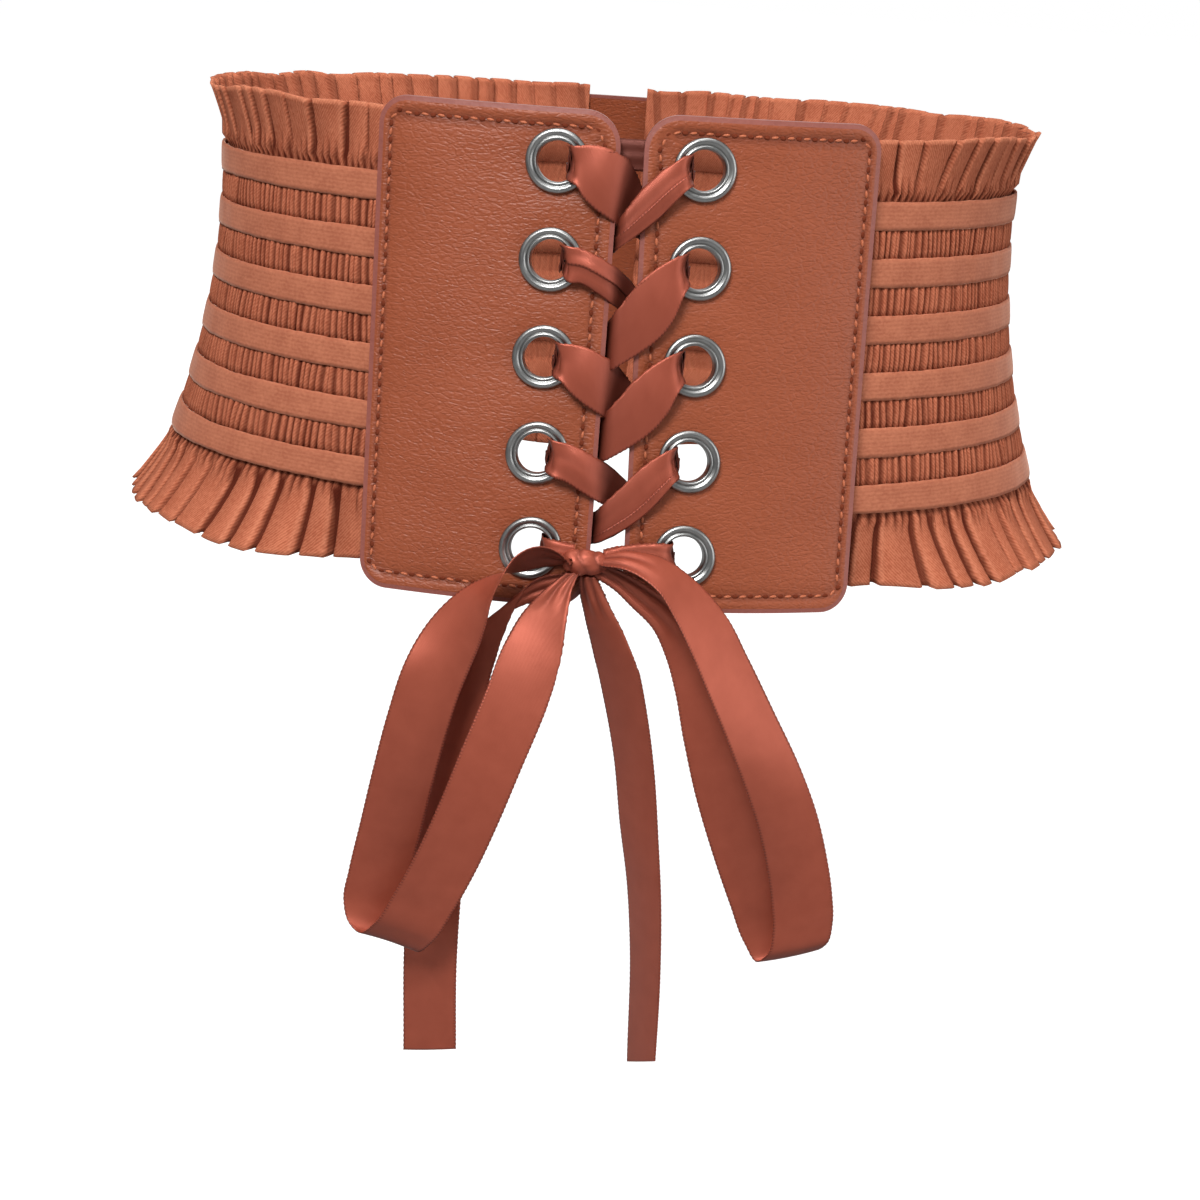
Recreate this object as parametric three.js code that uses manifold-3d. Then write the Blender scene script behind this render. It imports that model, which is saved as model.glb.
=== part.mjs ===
// Wide lace-up waist belt, millimetres, +Z up, front towards -Y.
// The origin is on the waist's own axis, at mid height of the front panels.
import * as THREE from "three";
import { mergeVertices } from "three/addons/utils/BufferGeometryUtils.js";
import Module from "manifold-3d";

const wasm = await Module();
wasm.setup();

// The waist: an oval whose size changes with height z, measured at the cloth's inner face
const WAIST = {
  halfWidth: 127.1,
  widthLean: -0.181,
  widthHollow: 0.00215,
  halfDepth: 84.5,
  depthLean: -0.136,
};

// Layers, as distances outwards from the cloth's inner face
const CLOTH_WALL = 1.2;
const ROW_PUFF = 0.9;
const STRIP_INSIDE = 1.95;
const STRIP_WALL = 1.0;
const PANEL_INSIDE = 3.5;
const PANEL_WALL = 2.6;
const PANEL_MIDDLE = PANEL_INSIDE + PANEL_WALL / 2;
const GAP = 0.3;

const PANEL = {
  top: 70.3,
  bottom: -69.3,
  outerEdge: 72,
  gapHalfWidth: 4.2,
  gapLean: -0.0141,
  innerCorner: 10,
  outerCorner: 8,
  columns: 6,
  rows: 2,
};
const BACK_TAB = { halfWidth: 16, top: 64, bottom: -61, corner: 6, columns: 3, rows: 2 };

// Elastic strips and the gathered rows between them
const STRIPS = { count: 6, middle: 3.2, pitch: 16.4, height: 8.2 };
const TUCK = 6;
const SIDE_COLUMNS = 13;

// Ruffles above and below the strips: one row of sizes each
const RUFFLES = [
  { name: "top_ruffle", root: 48.6, hem: 67.2, flare: 4.2, foldDepth: 1.9, folds: 21, rows: 1 },
  { name: "bottom_ruffle", root: -42.2, hem: -64.6, flare: 12.5, foldDepth: 2.6, folds: 21, rows: 2 },
];
const RUFFLE_PIN = 26;
const RUFFLE_LIFT = 0.3;
const SAMPLES_PER_FOLD = 4;

// How a fold grows from the ruffle's root to its hem, and the slower wave that makes folds uneven
const FOLD = { rootShare: 0.12, flarePower: 1.3, unevenShare: 0.25, unevenPace: 6.3 };

const EYELET = {
  rows: 5,
  middle: 1.4,
  pitch: 27.2,
  fromCentre: 21.6,
  holeRadius: 6.0,
  barrelRadius: 6.6,
  flangeRadius: 9.0,
  washerRadius: 8.4,
  flangeHeight: 1.0,
  washerHeight: 0.6,
  washerGap: 0.45,
  leatherHole: 7.0,
  sides: 14,
};

const RIBBON_WALL = 1.0;

const COLOURS = {
  leather: 0xa85a38,
  cloth: 0xb0613c,
  elastic: 0xb96c47,
  ribbon: 0x96503e,
  metal: 0x8f8f8c,
};

const belt = new THREE.Group();

function finish(colour, roughness, metalness = 0) {
  return new THREE.MeshStandardMaterial({ color: colour, roughness, metalness });
}

function addPiece(name, geometry, material, parent = belt) {
  const piece = new THREE.Mesh(geometry, material);
  piece.name = name;
  parent.add(piece);
  return piece;
}

// The waist's oval
function halfWidthAt(z) {
  return WAIST.halfWidth + WAIST.widthLean * z + WAIST.widthHollow * z * z;
}

function halfDepthAt(z) {
  return WAIST.halfDepth + WAIST.depthLean * z;
}

function ringPoint(angle, z, offset) {
  const x = (halfWidthAt(z) + offset) * Math.sin(angle);
  const y = -(halfDepthAt(z) + offset) * Math.cos(angle);
  return new THREE.Vector3(x, y, z);
}

// Directions on the oval's surface: level along it, up it and straight out of it
function ringDirections(angle, z, offset) {
  const step = 0.01;
  const level = ringPoint(angle + step, z, offset).sub(ringPoint(angle - step, z, offset)).normalize();
  const up = ringPoint(angle, z + 1, offset).sub(ringPoint(angle, z - 1, offset)).normalize();
  const out = new THREE.Vector3().crossVectors(level, up).normalize();
  return { level, up, out };
}

// The ring's angle at a distance x from the middle line, at the front
function frontAngle(x, z, offset) {
  return Math.asin(x / (halfWidthAt(z) + offset));
}

function frontPoint(x, z, offset) {
  return ringPoint(frontAngle(x, z, offset), z, offset);
}

function frontDirections(x, z, offset) {
  return ringDirections(frontAngle(x, z, offset), z, offset);
}

// A closed wall between two skins: cornerAt(column, row, skin) gives the corners, skin 0 inside and 1 outside
function wallGeometry(columns, rows, cornerAt) {
  const corners = [];
  const faces = [];
  const at = (column, row, skin) => (column * (rows + 1) + row) * 2 + skin;
  const quad = (a, b, c, d) => faces.push(a, b, c, a, c, d);
  for (let column = 0; column <= columns; column++) {
    for (let row = 0; row <= rows; row++) {
      corners.push(...cornerAt(column, row, 0).toArray(), ...cornerAt(column, row, 1).toArray());
    }
  }
  for (let column = 0; column < columns; column++) {
    const next = column + 1;
    for (let row = 0; row < rows; row++) {
      const up = row + 1;
      quad(at(column, row, 1), at(next, row, 1), at(next, up, 1), at(column, up, 1));
      quad(at(column, row, 0), at(column, up, 0), at(next, up, 0), at(next, row, 0));
    }
    quad(at(column, 0, 0), at(next, 0, 0), at(next, 0, 1), at(column, 0, 1));
    quad(at(column, rows, 1), at(next, rows, 1), at(next, rows, 0), at(column, rows, 0));
  }
  for (let row = 0; row < rows; row++) {
    const up = row + 1;
    quad(at(0, row, 0), at(0, row, 1), at(0, up, 1), at(0, up, 0));
    quad(at(columns, row, 1), at(columns, row, 0), at(columns, up, 0), at(columns, up, 1));
  }
  const geometry = new THREE.BufferGeometry();
  geometry.setAttribute("position", new THREE.Float32BufferAttribute(corners, 3));
  geometry.setIndex(faces);
  return geometry;
}

// Joining and cutting closed shapes
function solidOf(geometry) {
  const bare = geometry.clone();
  bare.deleteAttribute("normal");
  bare.deleteAttribute("uv");
  const merged = mergeVertices(bare, 1e-4);
  const mesh = new wasm.Mesh({
    numProp: 3,
    vertProperties: merged.attributes.position.array,
    triVerts: new Uint32Array(merged.index.array),
  });
  return new wasm.Manifold(mesh);
}

function geometryOf(solid) {
  const mesh = solid.getMesh();
  const geometry = new THREE.BufferGeometry();
  geometry.setAttribute("position", new THREE.BufferAttribute(mesh.vertProperties, 3));
  geometry.setIndex(new THREE.BufferAttribute(mesh.triVerts, 1));
  return geometry;
}

// A plate bent round the waist and cut to a front-view outline
const CUT = { near: 20, depth: 140, margin: 2 };

function outlineCutter(outline, backwards) {
  const cutter = new THREE.ExtrudeGeometry(outline, {
    depth: CUT.depth,
    bevelEnabled: false,
    curveSegments: 5,
  });
  cutter.rotateX(Math.PI / 2);
  cutter.translate(0, backwards ? CUT.near + CUT.depth : -CUT.near, 0);
  return solidOf(cutter);
}

function roundedOutline(edges, corners) {
  const outline = new THREE.Shape();
  const { topLeft, topRight, bottomRight, bottomLeft } = edges;
  const points = [topLeft, topRight, bottomRight, bottomLeft];
  points.forEach((point, i) => {
    const before = points[(i + 3) % 4].clone().sub(point).setLength(corners[i]).add(point);
    const after = points[(i + 1) % 4].clone().sub(point).setLength(corners[i]).add(point);
    if (i === 0) outline.moveTo(before.x, before.y);
    else outline.lineTo(before.x, before.y);
    outline.quadraticCurveTo(point.x, point.y, after.x, after.y);
  });
  outline.closePath();
  return outline;
}

function gapEdge(z) {
  return PANEL.gapHalfWidth + PANEL.gapLean * z;
}

function eyeletPlace(row) {
  const z = EYELET.middle + EYELET.pitch * ((EYELET.rows - 1) / 2 - row);
  return { x: EYELET.fromCentre + PANEL.gapLean * z, z };
}

// Turns a shape made round the Y axis so that Y points out of the panel
function placeOnPanel(object, { x, z }) {
  object.position.copy(frontPoint(x, z, PANEL_MIDDLE));
  const { out } = frontDirections(x, z, PANEL_MIDDLE);
  object.quaternion.setFromUnitVectors(new THREE.Vector3(0, 1, 0), out);
  object.updateMatrix();
  return object;
}

function panelGeometry() {
  const slab = wallGeometry(PANEL.columns, PANEL.rows, (column, row, skin) => {
    const z = THREE.MathUtils.lerp(PANEL.bottom - CUT.margin, PANEL.top + CUT.margin, row / PANEL.rows);
    const [near, far] = [gapEdge(z) - CUT.margin, PANEL.outerEdge + CUT.margin];
    const x = THREE.MathUtils.lerp(near, far, column / PANEL.columns);
    return frontPoint(x, z, PANEL_INSIDE + skin * PANEL_WALL);
  });
  const outline = roundedOutline(
    {
      topLeft: new THREE.Vector2(gapEdge(PANEL.top), PANEL.top),
      topRight: new THREE.Vector2(PANEL.outerEdge, PANEL.top),
      bottomRight: new THREE.Vector2(PANEL.outerEdge, PANEL.bottom),
      bottomLeft: new THREE.Vector2(gapEdge(PANEL.bottom), PANEL.bottom),
    },
    [PANEL.innerCorner, PANEL.outerCorner, PANEL.outerCorner, PANEL.innerCorner],
  );
  let panel = solidOf(slab).intersect(outlineCutter(outline, false));
  for (let row = 0; row < EYELET.rows; row++) {
    const drill = new THREE.CylinderGeometry(EYELET.leatherHole, EYELET.leatherHole, 12, EYELET.sides);
    const placed = placeOnPanel(new THREE.Object3D(), eyeletPlace(row));
    panel = panel.subtract(solidOf(drill.applyMatrix4(placed.matrix)));
  }
  return geometryOf(panel);
}

function backTabGeometry() {
  const slab = wallGeometry(BACK_TAB.columns, BACK_TAB.rows, (column, row, skin) => {
    const [low, high] = [BACK_TAB.bottom - CUT.margin, BACK_TAB.top + CUT.margin];
    const z = THREE.MathUtils.lerp(low, high, row / BACK_TAB.rows);
    const reach = BACK_TAB.halfWidth + CUT.margin;
    const x = THREE.MathUtils.lerp(reach, -reach, column / BACK_TAB.columns);
    const offset = PANEL_INSIDE + skin * PANEL_WALL;
    return ringPoint(Math.PI - frontAngle(x, z, offset), z, offset);
  });
  const { halfWidth, top, bottom, corner } = BACK_TAB;
  const outline = roundedOutline(
    {
      topLeft: new THREE.Vector2(-halfWidth, top),
      topRight: new THREE.Vector2(halfWidth, top),
      bottomRight: new THREE.Vector2(halfWidth, bottom),
      bottomLeft: new THREE.Vector2(-halfWidth, bottom),
    },
    [corner, corner, corner, corner],
  );
  return geometryOf(solidOf(slab).intersect(outlineCutter(outline, true)));
}

// A turned eyelet: rounded front flange, barrel through the leather and a flat washer behind it
function eyeletGeometry() {
  const half = PANEL_WALL / 2;
  const front = half + GAP;
  const back = -half - EYELET.washerGap;
  const profile = [
    [EYELET.holeRadius, back - EYELET.washerHeight],
    [EYELET.washerRadius, back - EYELET.washerHeight],
    [EYELET.washerRadius, back],
    [EYELET.barrelRadius, back],
    [EYELET.barrelRadius, front],
    [EYELET.flangeRadius, front],
    [(EYELET.flangeRadius + EYELET.holeRadius) / 2, front + EYELET.flangeHeight],
    [EYELET.holeRadius, front + EYELET.flangeHeight * 0.5],
  ].map(([radius, height]) => new THREE.Vector2(radius, height));
  profile.push(profile[0].clone());
  return mergeVertices(barePositions(new THREE.LatheGeometry(profile, EYELET.sides)), 1e-4);
}

function barePositions(geometry) {
  geometry.deleteAttribute("normal");
  geometry.deleteAttribute("uv");
  return geometry;
}

// Where a side's cloth starts behind the panel and ends behind the back tab
function sideAngle(share, z) {
  const start = frontAngle(PANEL.outerEdge - TUCK, z, 0);
  const end = Math.PI - frontAngle(BACK_TAB.halfWidth - TUCK, z, 0);
  return THREE.MathUtils.lerp(start, end, share);
}

function sideLength(z) {
  const start = sideAngle(0, z);
  const end = sideAngle(1, z);
  const oval = new THREE.EllipseCurve(0, 0, halfWidthAt(z), halfDepthAt(z), start, end);
  return oval.getLength();
}

function stripMiddle(index) {
  return STRIPS.middle + STRIPS.pitch * ((STRIPS.count - 1) / 2 - index);
}

// The gathered cloth is in at each strip and puffs out in the row between two strips
function gatheredClothGeometry() {
  const top = stripMiddle(0) + STRIPS.height / 2;
  const bottom = stripMiddle(STRIPS.count - 1) - STRIPS.height / 2;
  const levels = [top];
  for (let index = 0; index < STRIPS.count; index++) {
    levels.push(stripMiddle(index));
    if (index < STRIPS.count - 1) levels.push(stripMiddle(index) - STRIPS.pitch / 2);
  }
  levels.push(bottom);
  levels.reverse();
  const puffed = (z) => levels.indexOf(z) % 2 === 0 && z !== top && z !== bottom;
  return wallGeometry(SIDE_COLUMNS, levels.length - 1, (column, row, skin) => {
    const z = levels[row];
    const offset = (puffed(z) ? ROW_PUFF : 0) + skin * CLOTH_WALL;
    return ringPoint(sideAngle(column / SIDE_COLUMNS, z), z, offset);
  });
}

function stripGeometry(index) {
  const bottom = stripMiddle(index) - STRIPS.height / 2;
  return wallGeometry(SIDE_COLUMNS, 1, (column, row, skin) => {
    const z = bottom + row * STRIPS.height;
    const offset = STRIP_INSIDE + skin * STRIP_WALL;
    return ringPoint(sideAngle(column / SIDE_COLUMNS, z), z, offset);
  });
}

// A ruffle flares and folds more towards its hem, and lies flat where it is pinned at both ends
function ruffleGeometry(ruffle) {
  const columns = ruffle.folds * SAMPLES_PER_FOLD;
  const length = sideLength(ruffle.root);
  const free = (share) => {
    const fromFront = share * length - TUCK;
    const fromBack = (1 - share) * length - TUCK;
    return THREE.MathUtils.smoothstep(Math.min(fromFront, fromBack), 0, RUFFLE_PIN);
  };
  const middleAt = (share, down) => {
    const z = THREE.MathUtils.lerp(ruffle.root, ruffle.hem, down);
    const uneven = FOLD.unevenShare * Math.sin(FOLD.unevenPace * ruffle.folds * share);
    const wave = Math.cos(2 * Math.PI * ruffle.folds * share) + uneven;
    const fold = ruffle.foldDepth * THREE.MathUtils.lerp(FOLD.rootShare, 1, down) * wave;
    const flare = ruffle.flare * Math.pow(down, FOLD.flarePower);
    const offset = CLOTH_WALL / 2 + free(share) * (flare + fold + RUFFLE_LIFT);
    return ringPoint(sideAngle(share, ruffle.root), ruffle.root, offset).setZ(z);
  };
  const upwards = Math.sign(ruffle.hem - ruffle.root);
  return wallGeometry(columns, ruffle.rows, (column, row, skin) => {
    const share = column / columns;
    const down = upwards > 0 ? row / ruffle.rows : 1 - row / ruffle.rows;
    const step = 1 / (SAMPLES_PER_FOLD * columns);
    const before = middleAt(Math.max(share - step, 0), down);
    const after = middleAt(Math.min(share + step, 1), down);
    const along = after.sub(before).normalize();
    const outwards = new THREE.Vector3(along.y, -along.x, 0);
    return middleAt(share, down).addScaledVector(outwards, (skin - 0.5) * CLOTH_WALL);
  });
}

// A ribbon follows its rows' centres: lean turns its width up from +X, turn brings it towards the front
function ribbonGeometry(rows) {
  const centres = rows.map((row) => row.centre);
  return wallGeometry(rows.length - 1, 1, (station, side, skin) => {
    const along = centres[Math.min(station + 1, rows.length - 1)].clone();
    along.sub(centres[Math.max(station - 1, 0)]).normalize();
    const { across, width } = rows[station];
    const out = new THREE.Vector3().crossVectors(along, across).normalize();
    const corner = centres[station].clone();
    corner.addScaledVector(across, (side - 0.5) * width);
    return corner.addScaledVector(out, (skin - 0.5) * RIBBON_WALL);
  });
}

function hangingRibbon(table) {
  return ribbonGeometry(
    table.map(([x, y, z, width, lean, turn]) => {
      const up = THREE.MathUtils.degToRad(lean);
      const forward = THREE.MathUtils.degToRad(turn);
      const across = new THREE.Vector3(
        Math.cos(forward) * Math.cos(up),
        -Math.sin(forward),
        Math.cos(forward) * Math.sin(up),
      );
      return { centre: new THREE.Vector3(x, y, z), across, width };
    }),
  );
}

// Lacing on the panels: distance from the middle line, drop below its eyelet, lift off the leather's middle.
// Where a row is open by a share, its lower edge goes down by that share of the crossing's spread.
function lacingRibbon(table, top, side, spread = 0) {
  const rows = table.map(([fromMiddle, drop, lift, ownWidth, lean, open = 0]) => {
    const width = ownWidth + open * spread;
    const z = top - drop - (open * spread) / 2;
    const shift = THREE.MathUtils.clamp(fromMiddle / PANEL.gapHalfWidth, -1, 1) * PANEL.gapLean * z;
    const x = side * (fromMiddle + shift);
    const { level, up } = frontDirections(x, z, PANEL_MIDDLE);
    const angle = THREE.MathUtils.degToRad(lean);
    const across = up.multiplyScalar(Math.cos(angle)).addScaledVector(level, side * Math.sin(angle));
    return { centre: frontPoint(x, z, PANEL_MIDDLE + lift), across, width };
  });
  return ribbonGeometry(rows);
}

// Columns: fromMiddle, drop, lift, width, lean, open. A pass ends in the eyelet below, across the gap
const UNDER_PASS = [
  [-18.2, 0, 0.2, 7.5, 0, 0],
  [-18.4, -0.2, 2.8, 7.6, 0, 0],
  [-16.8, 0.3, 4.4, 9.2, 0, 0],
  [-12.5, 1.9, 4.0, 11.4, 8, 0.7],
  [-7.6, 4.7, 3.1, 12.4, 4, 1],
  [-4.6, 6.6, 2.8, 12.6, 0, 1],
  [-2.8, 7.9, 2.0, 12.4, 0, 1],
  [-1.8, 8.8, 0.2, 12.2, 0, 1],
  [-0.2, 10.2, -1.3, 12, 0, 0.9],
  [2.2, 12.2, -2.4, 11.4, 0, 0.6],
  [4.8, 14.2, -2.9, 11, 0, 0.3],
  [11.5, 20.4, -3.6, 9, 0, 0],
  [17.0, 26.8, -4.0, 7.4, 0, 0],
  [18.2, 27.2, -2.9, 7.2, 0, 0],
  [18.2, 27.2, -0.2, 7.2, 0, 0],
];
const OVER_PASS = [
  [-18.2, 0, 0.2, 7.5, 0, 0],
  [-18.2, 0, 2.8, 7.8, 0, 0],
  [-16.8, 0.6, 4.2, 8.5, 4, 0.2],
  [-12.5, 4.0, 4.0, 10, 20, 0.8],
  [-7.6, 9.0, 3.0, 10.5, 24, 1],
  [-4.0, 12.8, 2.6, 10, 12, 1],
  [-1.2, 15.6, 2.4, 9, 4, 1],
  [0.9, 17.6, 2.2, 7.8, 0, 1],
  [2.0, 18.9, 1.6, 7.2, 0, 1],
  [2.6, 19.9, 0.4, 7, 0, 0.9],
  [2.9, 20.7, -0.9, 7, 0, 0.8],
  [3.4, 21.3, -2.3, 7, 0, 0.7],
  [5.0, 22.0, -2.9, 7, 0, 0.5],
  [10.4, 24.4, -3.6, 7, 0, 0],
  [16.6, 27.0, -4.0, 7, 0, 0],
  [18.2, 27.2, -2.9, 7.2, 0, 0],
  [18.2, 27.2, -0.2, 7.2, 0, 0],
];
// How much wider than its table each crossing's ribbon lies open, from the top crossing down
const SPREADS = [
  { under: 0, over: -0.6 },
  { under: -3, over: 6 },
  { under: 0, over: 4.5 },
  { under: -1.5, over: 1 },
];
const TOP_BAR = [
  [-18.2, 0, -0.2, 7.5, 0],
  [-18.2, 0, -2.9, 7.5, 0],
  [-16.4, -1.2, -4.0, 8, 0],
  [-9.5, -2.4, -3.2, 8.5, 0],
  [0, -2.8, -2.9, 9, 0],
  [9.5, -2.4, -3.2, 8.5, 0],
  [16.4, -1.2, -4.0, 8, 0],
  [18.2, 0, -2.9, 7.5, 0],
  [18.2, 0, -0.2, 7.5, 0],
];
const TO_KNOT = {
  left: [
    [-18.2, -0.6, 0.2, 6.4, 0],
    [-18.2, -0.6, 2.9, 6.4, 0],
    [-16.6, -0.8, 4.3, 6, 0],
    [-13.6, -0.9, 4.8, 5.4, 0],
    [-8.8, -0.4, 4.8, 5, 0],
  ],
  right: [
    [-18.2, -0.8, 0.2, 6, 0],
    [-18.2, -0.8, 2.9, 6, 0],
    [-16.2, -1.4, 4.3, 5.6, 0],
    [-10.6, -2.2, 4.4, 5, 0],
    [-2.6, -1.4, 4.4, 4.6, 0],
  ],
};

const KNOT = { centre: [-3, -102.6, -54.9], halfSize: [6.1, 4.4, 4.9] };

// Columns: x, y, z, width, lean, turn
const BOW = {
  bow_loop_left: [
    [-9.3, -104.9, -54.4, 6.0, -90, 62],
    [-13.5, -107.4, -52.6, 9.4, -90, 74],
    [-19, -108.6, -52.1, 12, -90, 76],
    [-25, -108.8, -54.6, 14, -84, 68],
    [-31, -107.6, -60.2, 16, -62, 55],
    [-37, -106.4, -68.3, 18, -38, 40],
    [-42.5, -105, -78, 18, -20, 24],
    [-47.5, -104, -90, 18, -14, 12],
    [-51.6, -103, -105.5, 18, -13, 6],
    [-55.4, -102.4, -123, 18, -12, 4],
    [-59, -102, -141, 18, -12, 2],
    [-62.2, -101.8, -157, 18, -14, 0],
    [-63.6, -102.4, -167, 18, -16, 0],
    [-61.8, -104.4, -173.4, 18, -17, 0],
    [-58.2, -107.4, -175.2, 18, -17, 0],
    [-53.6, -110.2, -170.6, 18, -17, 0],
    [-47.6, -111.4, -159.3, 18, -18, 0],
    [-41, -111.6, -144.6, 18, -20, 0],
    [-35.3, -111.6, -129.4, 18, -21, 0],
    [-29.6, -111.4, -112.3, 18, -19, 2],
    [-23.6, -110.8, -94.3, 18, -14, 6],
    [-19.6, -109.6, -79.5, 17, -8, 14],
    [-16.6, -107.8, -69, 13, 2, 20],
    [-13.2, -106.4, -61.8, 8, 8, 10],
    [-9.4, -105.6, -58, 5, 12, 6],
  ],
  bow_loop_right: [
    [2.6, -104.4, -53.6, 5.0, 90, -60],
    [8, -107.6, -52.2, 9.6, 86, -60],
    [14.7, -109.4, -55, 13, 72, -58],
    [22, -110, -61.5, 15.5, 56, -50],
    [28.7, -110.6, -70, 17.5, 44, -44],
    [36.6, -110.8, -84.5, 18, 34, -40],
    [44.4, -110.6, -99.7, 18, 24, -34],
    [51.8, -110.2, -114.5, 18, 16, -22],
    [57.7, -109.8, -128.5, 18, 12, -12],
    [61.6, -109.4, -141, 18, 10, -6],
    [64.4, -109, -152.8, 18, 12, 0],
    [65.8, -108.4, -163, 18, 14, 0],
    [65, -107, -171, 18, 15, 0],
    [62, -104.4, -174.6, 18, 16, 0],
    [58.2, -102.2, -169.6, 18, 18, 0],
    [52.4, -101.6, -156.4, 18, 20, 0],
    [45.2, -101.4, -138.6, 18, 20, 0],
    [38.8, -101.4, -120.6, 18, 17, 0],
    [34.4, -101.6, -104.8, 18, 14, 0],
    [30.4, -101.8, -90.2, 17, 16, 0],
    [25.2, -102.4, -79.2, 14, 24, 0],
    [18.4, -103, -70.4, 10, 34, -8],
    [11.4, -103.4, -64.4, 8, 44, -10],
    [4.2, -103.4, -59.6, 6, 50, -6],
  ],
  bow_tail_left: [
    [-8.2, -102.9, -59.8, 3.6, 78, 0],
    [-13, -102.4, -61.2, 6, 78, 0],
    [-19.6, -102.4, -63.6, 9, 66, 0],
    [-26.8, -102.8, -67.8, 13, 48, 2],
    [-33.6, -102.6, -75.4, 16.5, 28, 6],
    [-38.8, -101.2, -87, 18, 14, 16],
    [-41.6, -99.6, -102, 18, 6, 24],
    [-43, -98.6, -120, 18, 5, 27],
    [-43.8, -98, -140, 18, 4, 27],
    [-45.2, -98, -160, 18, 3, 26],
    [-45.7, -98, -182, 18, 0, 25],
    [-44.6, -98, -215.8, 18, -1, 24],
  ],
  bow_tail_right: [
    [-3.0, -102.6, -60.0, 6, 2, 10],
    [-1.4, -102.6, -66, 10, 4, 36],
    [1.6, -102.8, -74.6, 15, 2, 42],
    [4.8, -102.8, -85.4, 18, 4, 46],
    [8, -102.2, -97.5, 18, 6, 48],
    [11.9, -101.4, -116, 18, 5, 51],
    [15, -100.8, -138, 18, 4, 53],
    [17.9, -100.4, -158, 18, 3, 58],
    [19.9, -100, -181, 18, 2, 62],
    [21.1, -99.8, -215.5, 18, 1, 65],
  ],
};

// Both halves of the belt, the left one mirrored
const leather = finish(COLOURS.leather, 0.5);
const cloth = finish(COLOURS.cloth, 0.9);
const elastic = finish(COLOURS.elastic, 0.85);
const satin = finish(COLOURS.ribbon, 0.4);
const metal = finish(COLOURS.metal, 0.35, 1);

for (const [name, mirror] of [["left", -1], ["right", 1]]) {
  const half = new THREE.Group();
  half.scale.x = mirror;
  belt.add(half);
  addPiece(`${name}_panel`, panelGeometry(), leather, half);
  for (let row = 0; row < EYELET.rows; row++) {
    const eyelet = addPiece(`eyelet_${name}_${row + 1}`, eyeletGeometry(), metal, half);
    placeOnPanel(eyelet, eyeletPlace(row));
  }
  addPiece(`gathered_cloth_${name}`, gatheredClothGeometry(), cloth, half);
  for (const ruffle of RUFFLES) {
    addPiece(`${ruffle.name}_${name}`, ruffleGeometry(ruffle), cloth, half);
  }
  for (let index = 0; index < STRIPS.count; index++) {
    addPiece(`elastic_strip_${name}_${index + 1}`, stripGeometry(index), elastic, half);
  }
}
addPiece("back_tab", backTabGeometry(), leather);

// The ribbon: a bar behind the top pair of eyelets, four crossings, two ends and the bow
addPiece("lace_top_bar", lacingRibbon(TOP_BAR, eyeletPlace(0).z, 1), satin);
SPREADS.forEach((spread, row) => {
  const { z } = eyeletPlace(row);
  addPiece(`lace_under_${row + 1}`, lacingRibbon(UNDER_PASS, z, 1, spread.under), satin);
  addPiece(`lace_over_${row + 1}`, lacingRibbon(OVER_PASS, z, -1, spread.over), satin);
});
const lastRow = eyeletPlace(EYELET.rows - 1).z;
addPiece("lace_end_left", lacingRibbon(TO_KNOT.left, lastRow, 1), satin);
addPiece("lace_end_right", lacingRibbon(TO_KNOT.right, lastRow, -1), satin);

const knotShape = mergeVertices(barePositions(new THREE.SphereGeometry(1, 12, 8)), 1e-4);
knotShape.scale(...KNOT.halfSize);
const knot = addPiece("bow_knot", knotShape, satin);
knot.position.set(...KNOT.centre);
for (const [name, table] of Object.entries(BOW)) {
  addPiece(name, hangingRibbon(table), satin);
}

export default belt;
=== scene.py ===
"""Looks of a wide lace-up waist belt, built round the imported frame.

Sizes are in millimetres, as in the part's source, and every mesh is made in metres.
"""

import logging
import math
from collections.abc import Callable, Sequence
from dataclasses import dataclass, field
from enum import Enum

import bmesh
import bpy
import numpy as np
from mathutils import Matrix, Vector, noise


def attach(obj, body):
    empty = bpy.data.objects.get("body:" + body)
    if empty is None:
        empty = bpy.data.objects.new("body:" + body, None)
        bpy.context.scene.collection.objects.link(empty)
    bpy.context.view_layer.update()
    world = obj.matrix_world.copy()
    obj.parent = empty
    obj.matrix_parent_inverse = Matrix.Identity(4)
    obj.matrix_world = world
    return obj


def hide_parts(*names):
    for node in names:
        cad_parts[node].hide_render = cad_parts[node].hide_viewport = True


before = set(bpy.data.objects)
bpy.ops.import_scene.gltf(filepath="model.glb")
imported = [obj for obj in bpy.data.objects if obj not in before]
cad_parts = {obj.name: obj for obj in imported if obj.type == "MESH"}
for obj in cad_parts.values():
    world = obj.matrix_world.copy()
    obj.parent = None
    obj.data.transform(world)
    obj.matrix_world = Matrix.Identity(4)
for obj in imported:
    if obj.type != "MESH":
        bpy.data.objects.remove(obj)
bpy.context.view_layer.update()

MM = 0.001
LOG = logging.getLogger("belt")
Colour = tuple[float, float, float]


class Side(Enum):
    """A half of the belt; its value is the sign of X there."""

    LEFT = -1
    RIGHT = 1

    @property
    def word(self) -> str:
        """The side's name in a piece's name."""
        return self.name.lower()


class Slot(Enum):
    """The record's material slots."""

    LEATHER = "leather"
    CLOTH = "cloth"
    ELASTIC = "elastic"
    RIBBON = "ribbon"
    METAL = "metal"


# Layers, as distances outwards from the cloth's inner face
STRIP_INSIDE = 1.95
STRIP_WALL = 1.0
PANEL_INSIDE = 3.5
PANEL_WALL = 2.6
PANEL_MIDDLE = PANEL_INSIDE + PANEL_WALL / 2

# The panels' outer edges and the tab's edges, from the middle line, and how far the cloth goes in behind them
PANEL_EDGE = 72.0
TAB_EDGE = 16.0
TUCK = 6.0

# Points nearer than this, in the sheet's own units, are the same
CLOSE = 0.0001


# Small helpers


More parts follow.
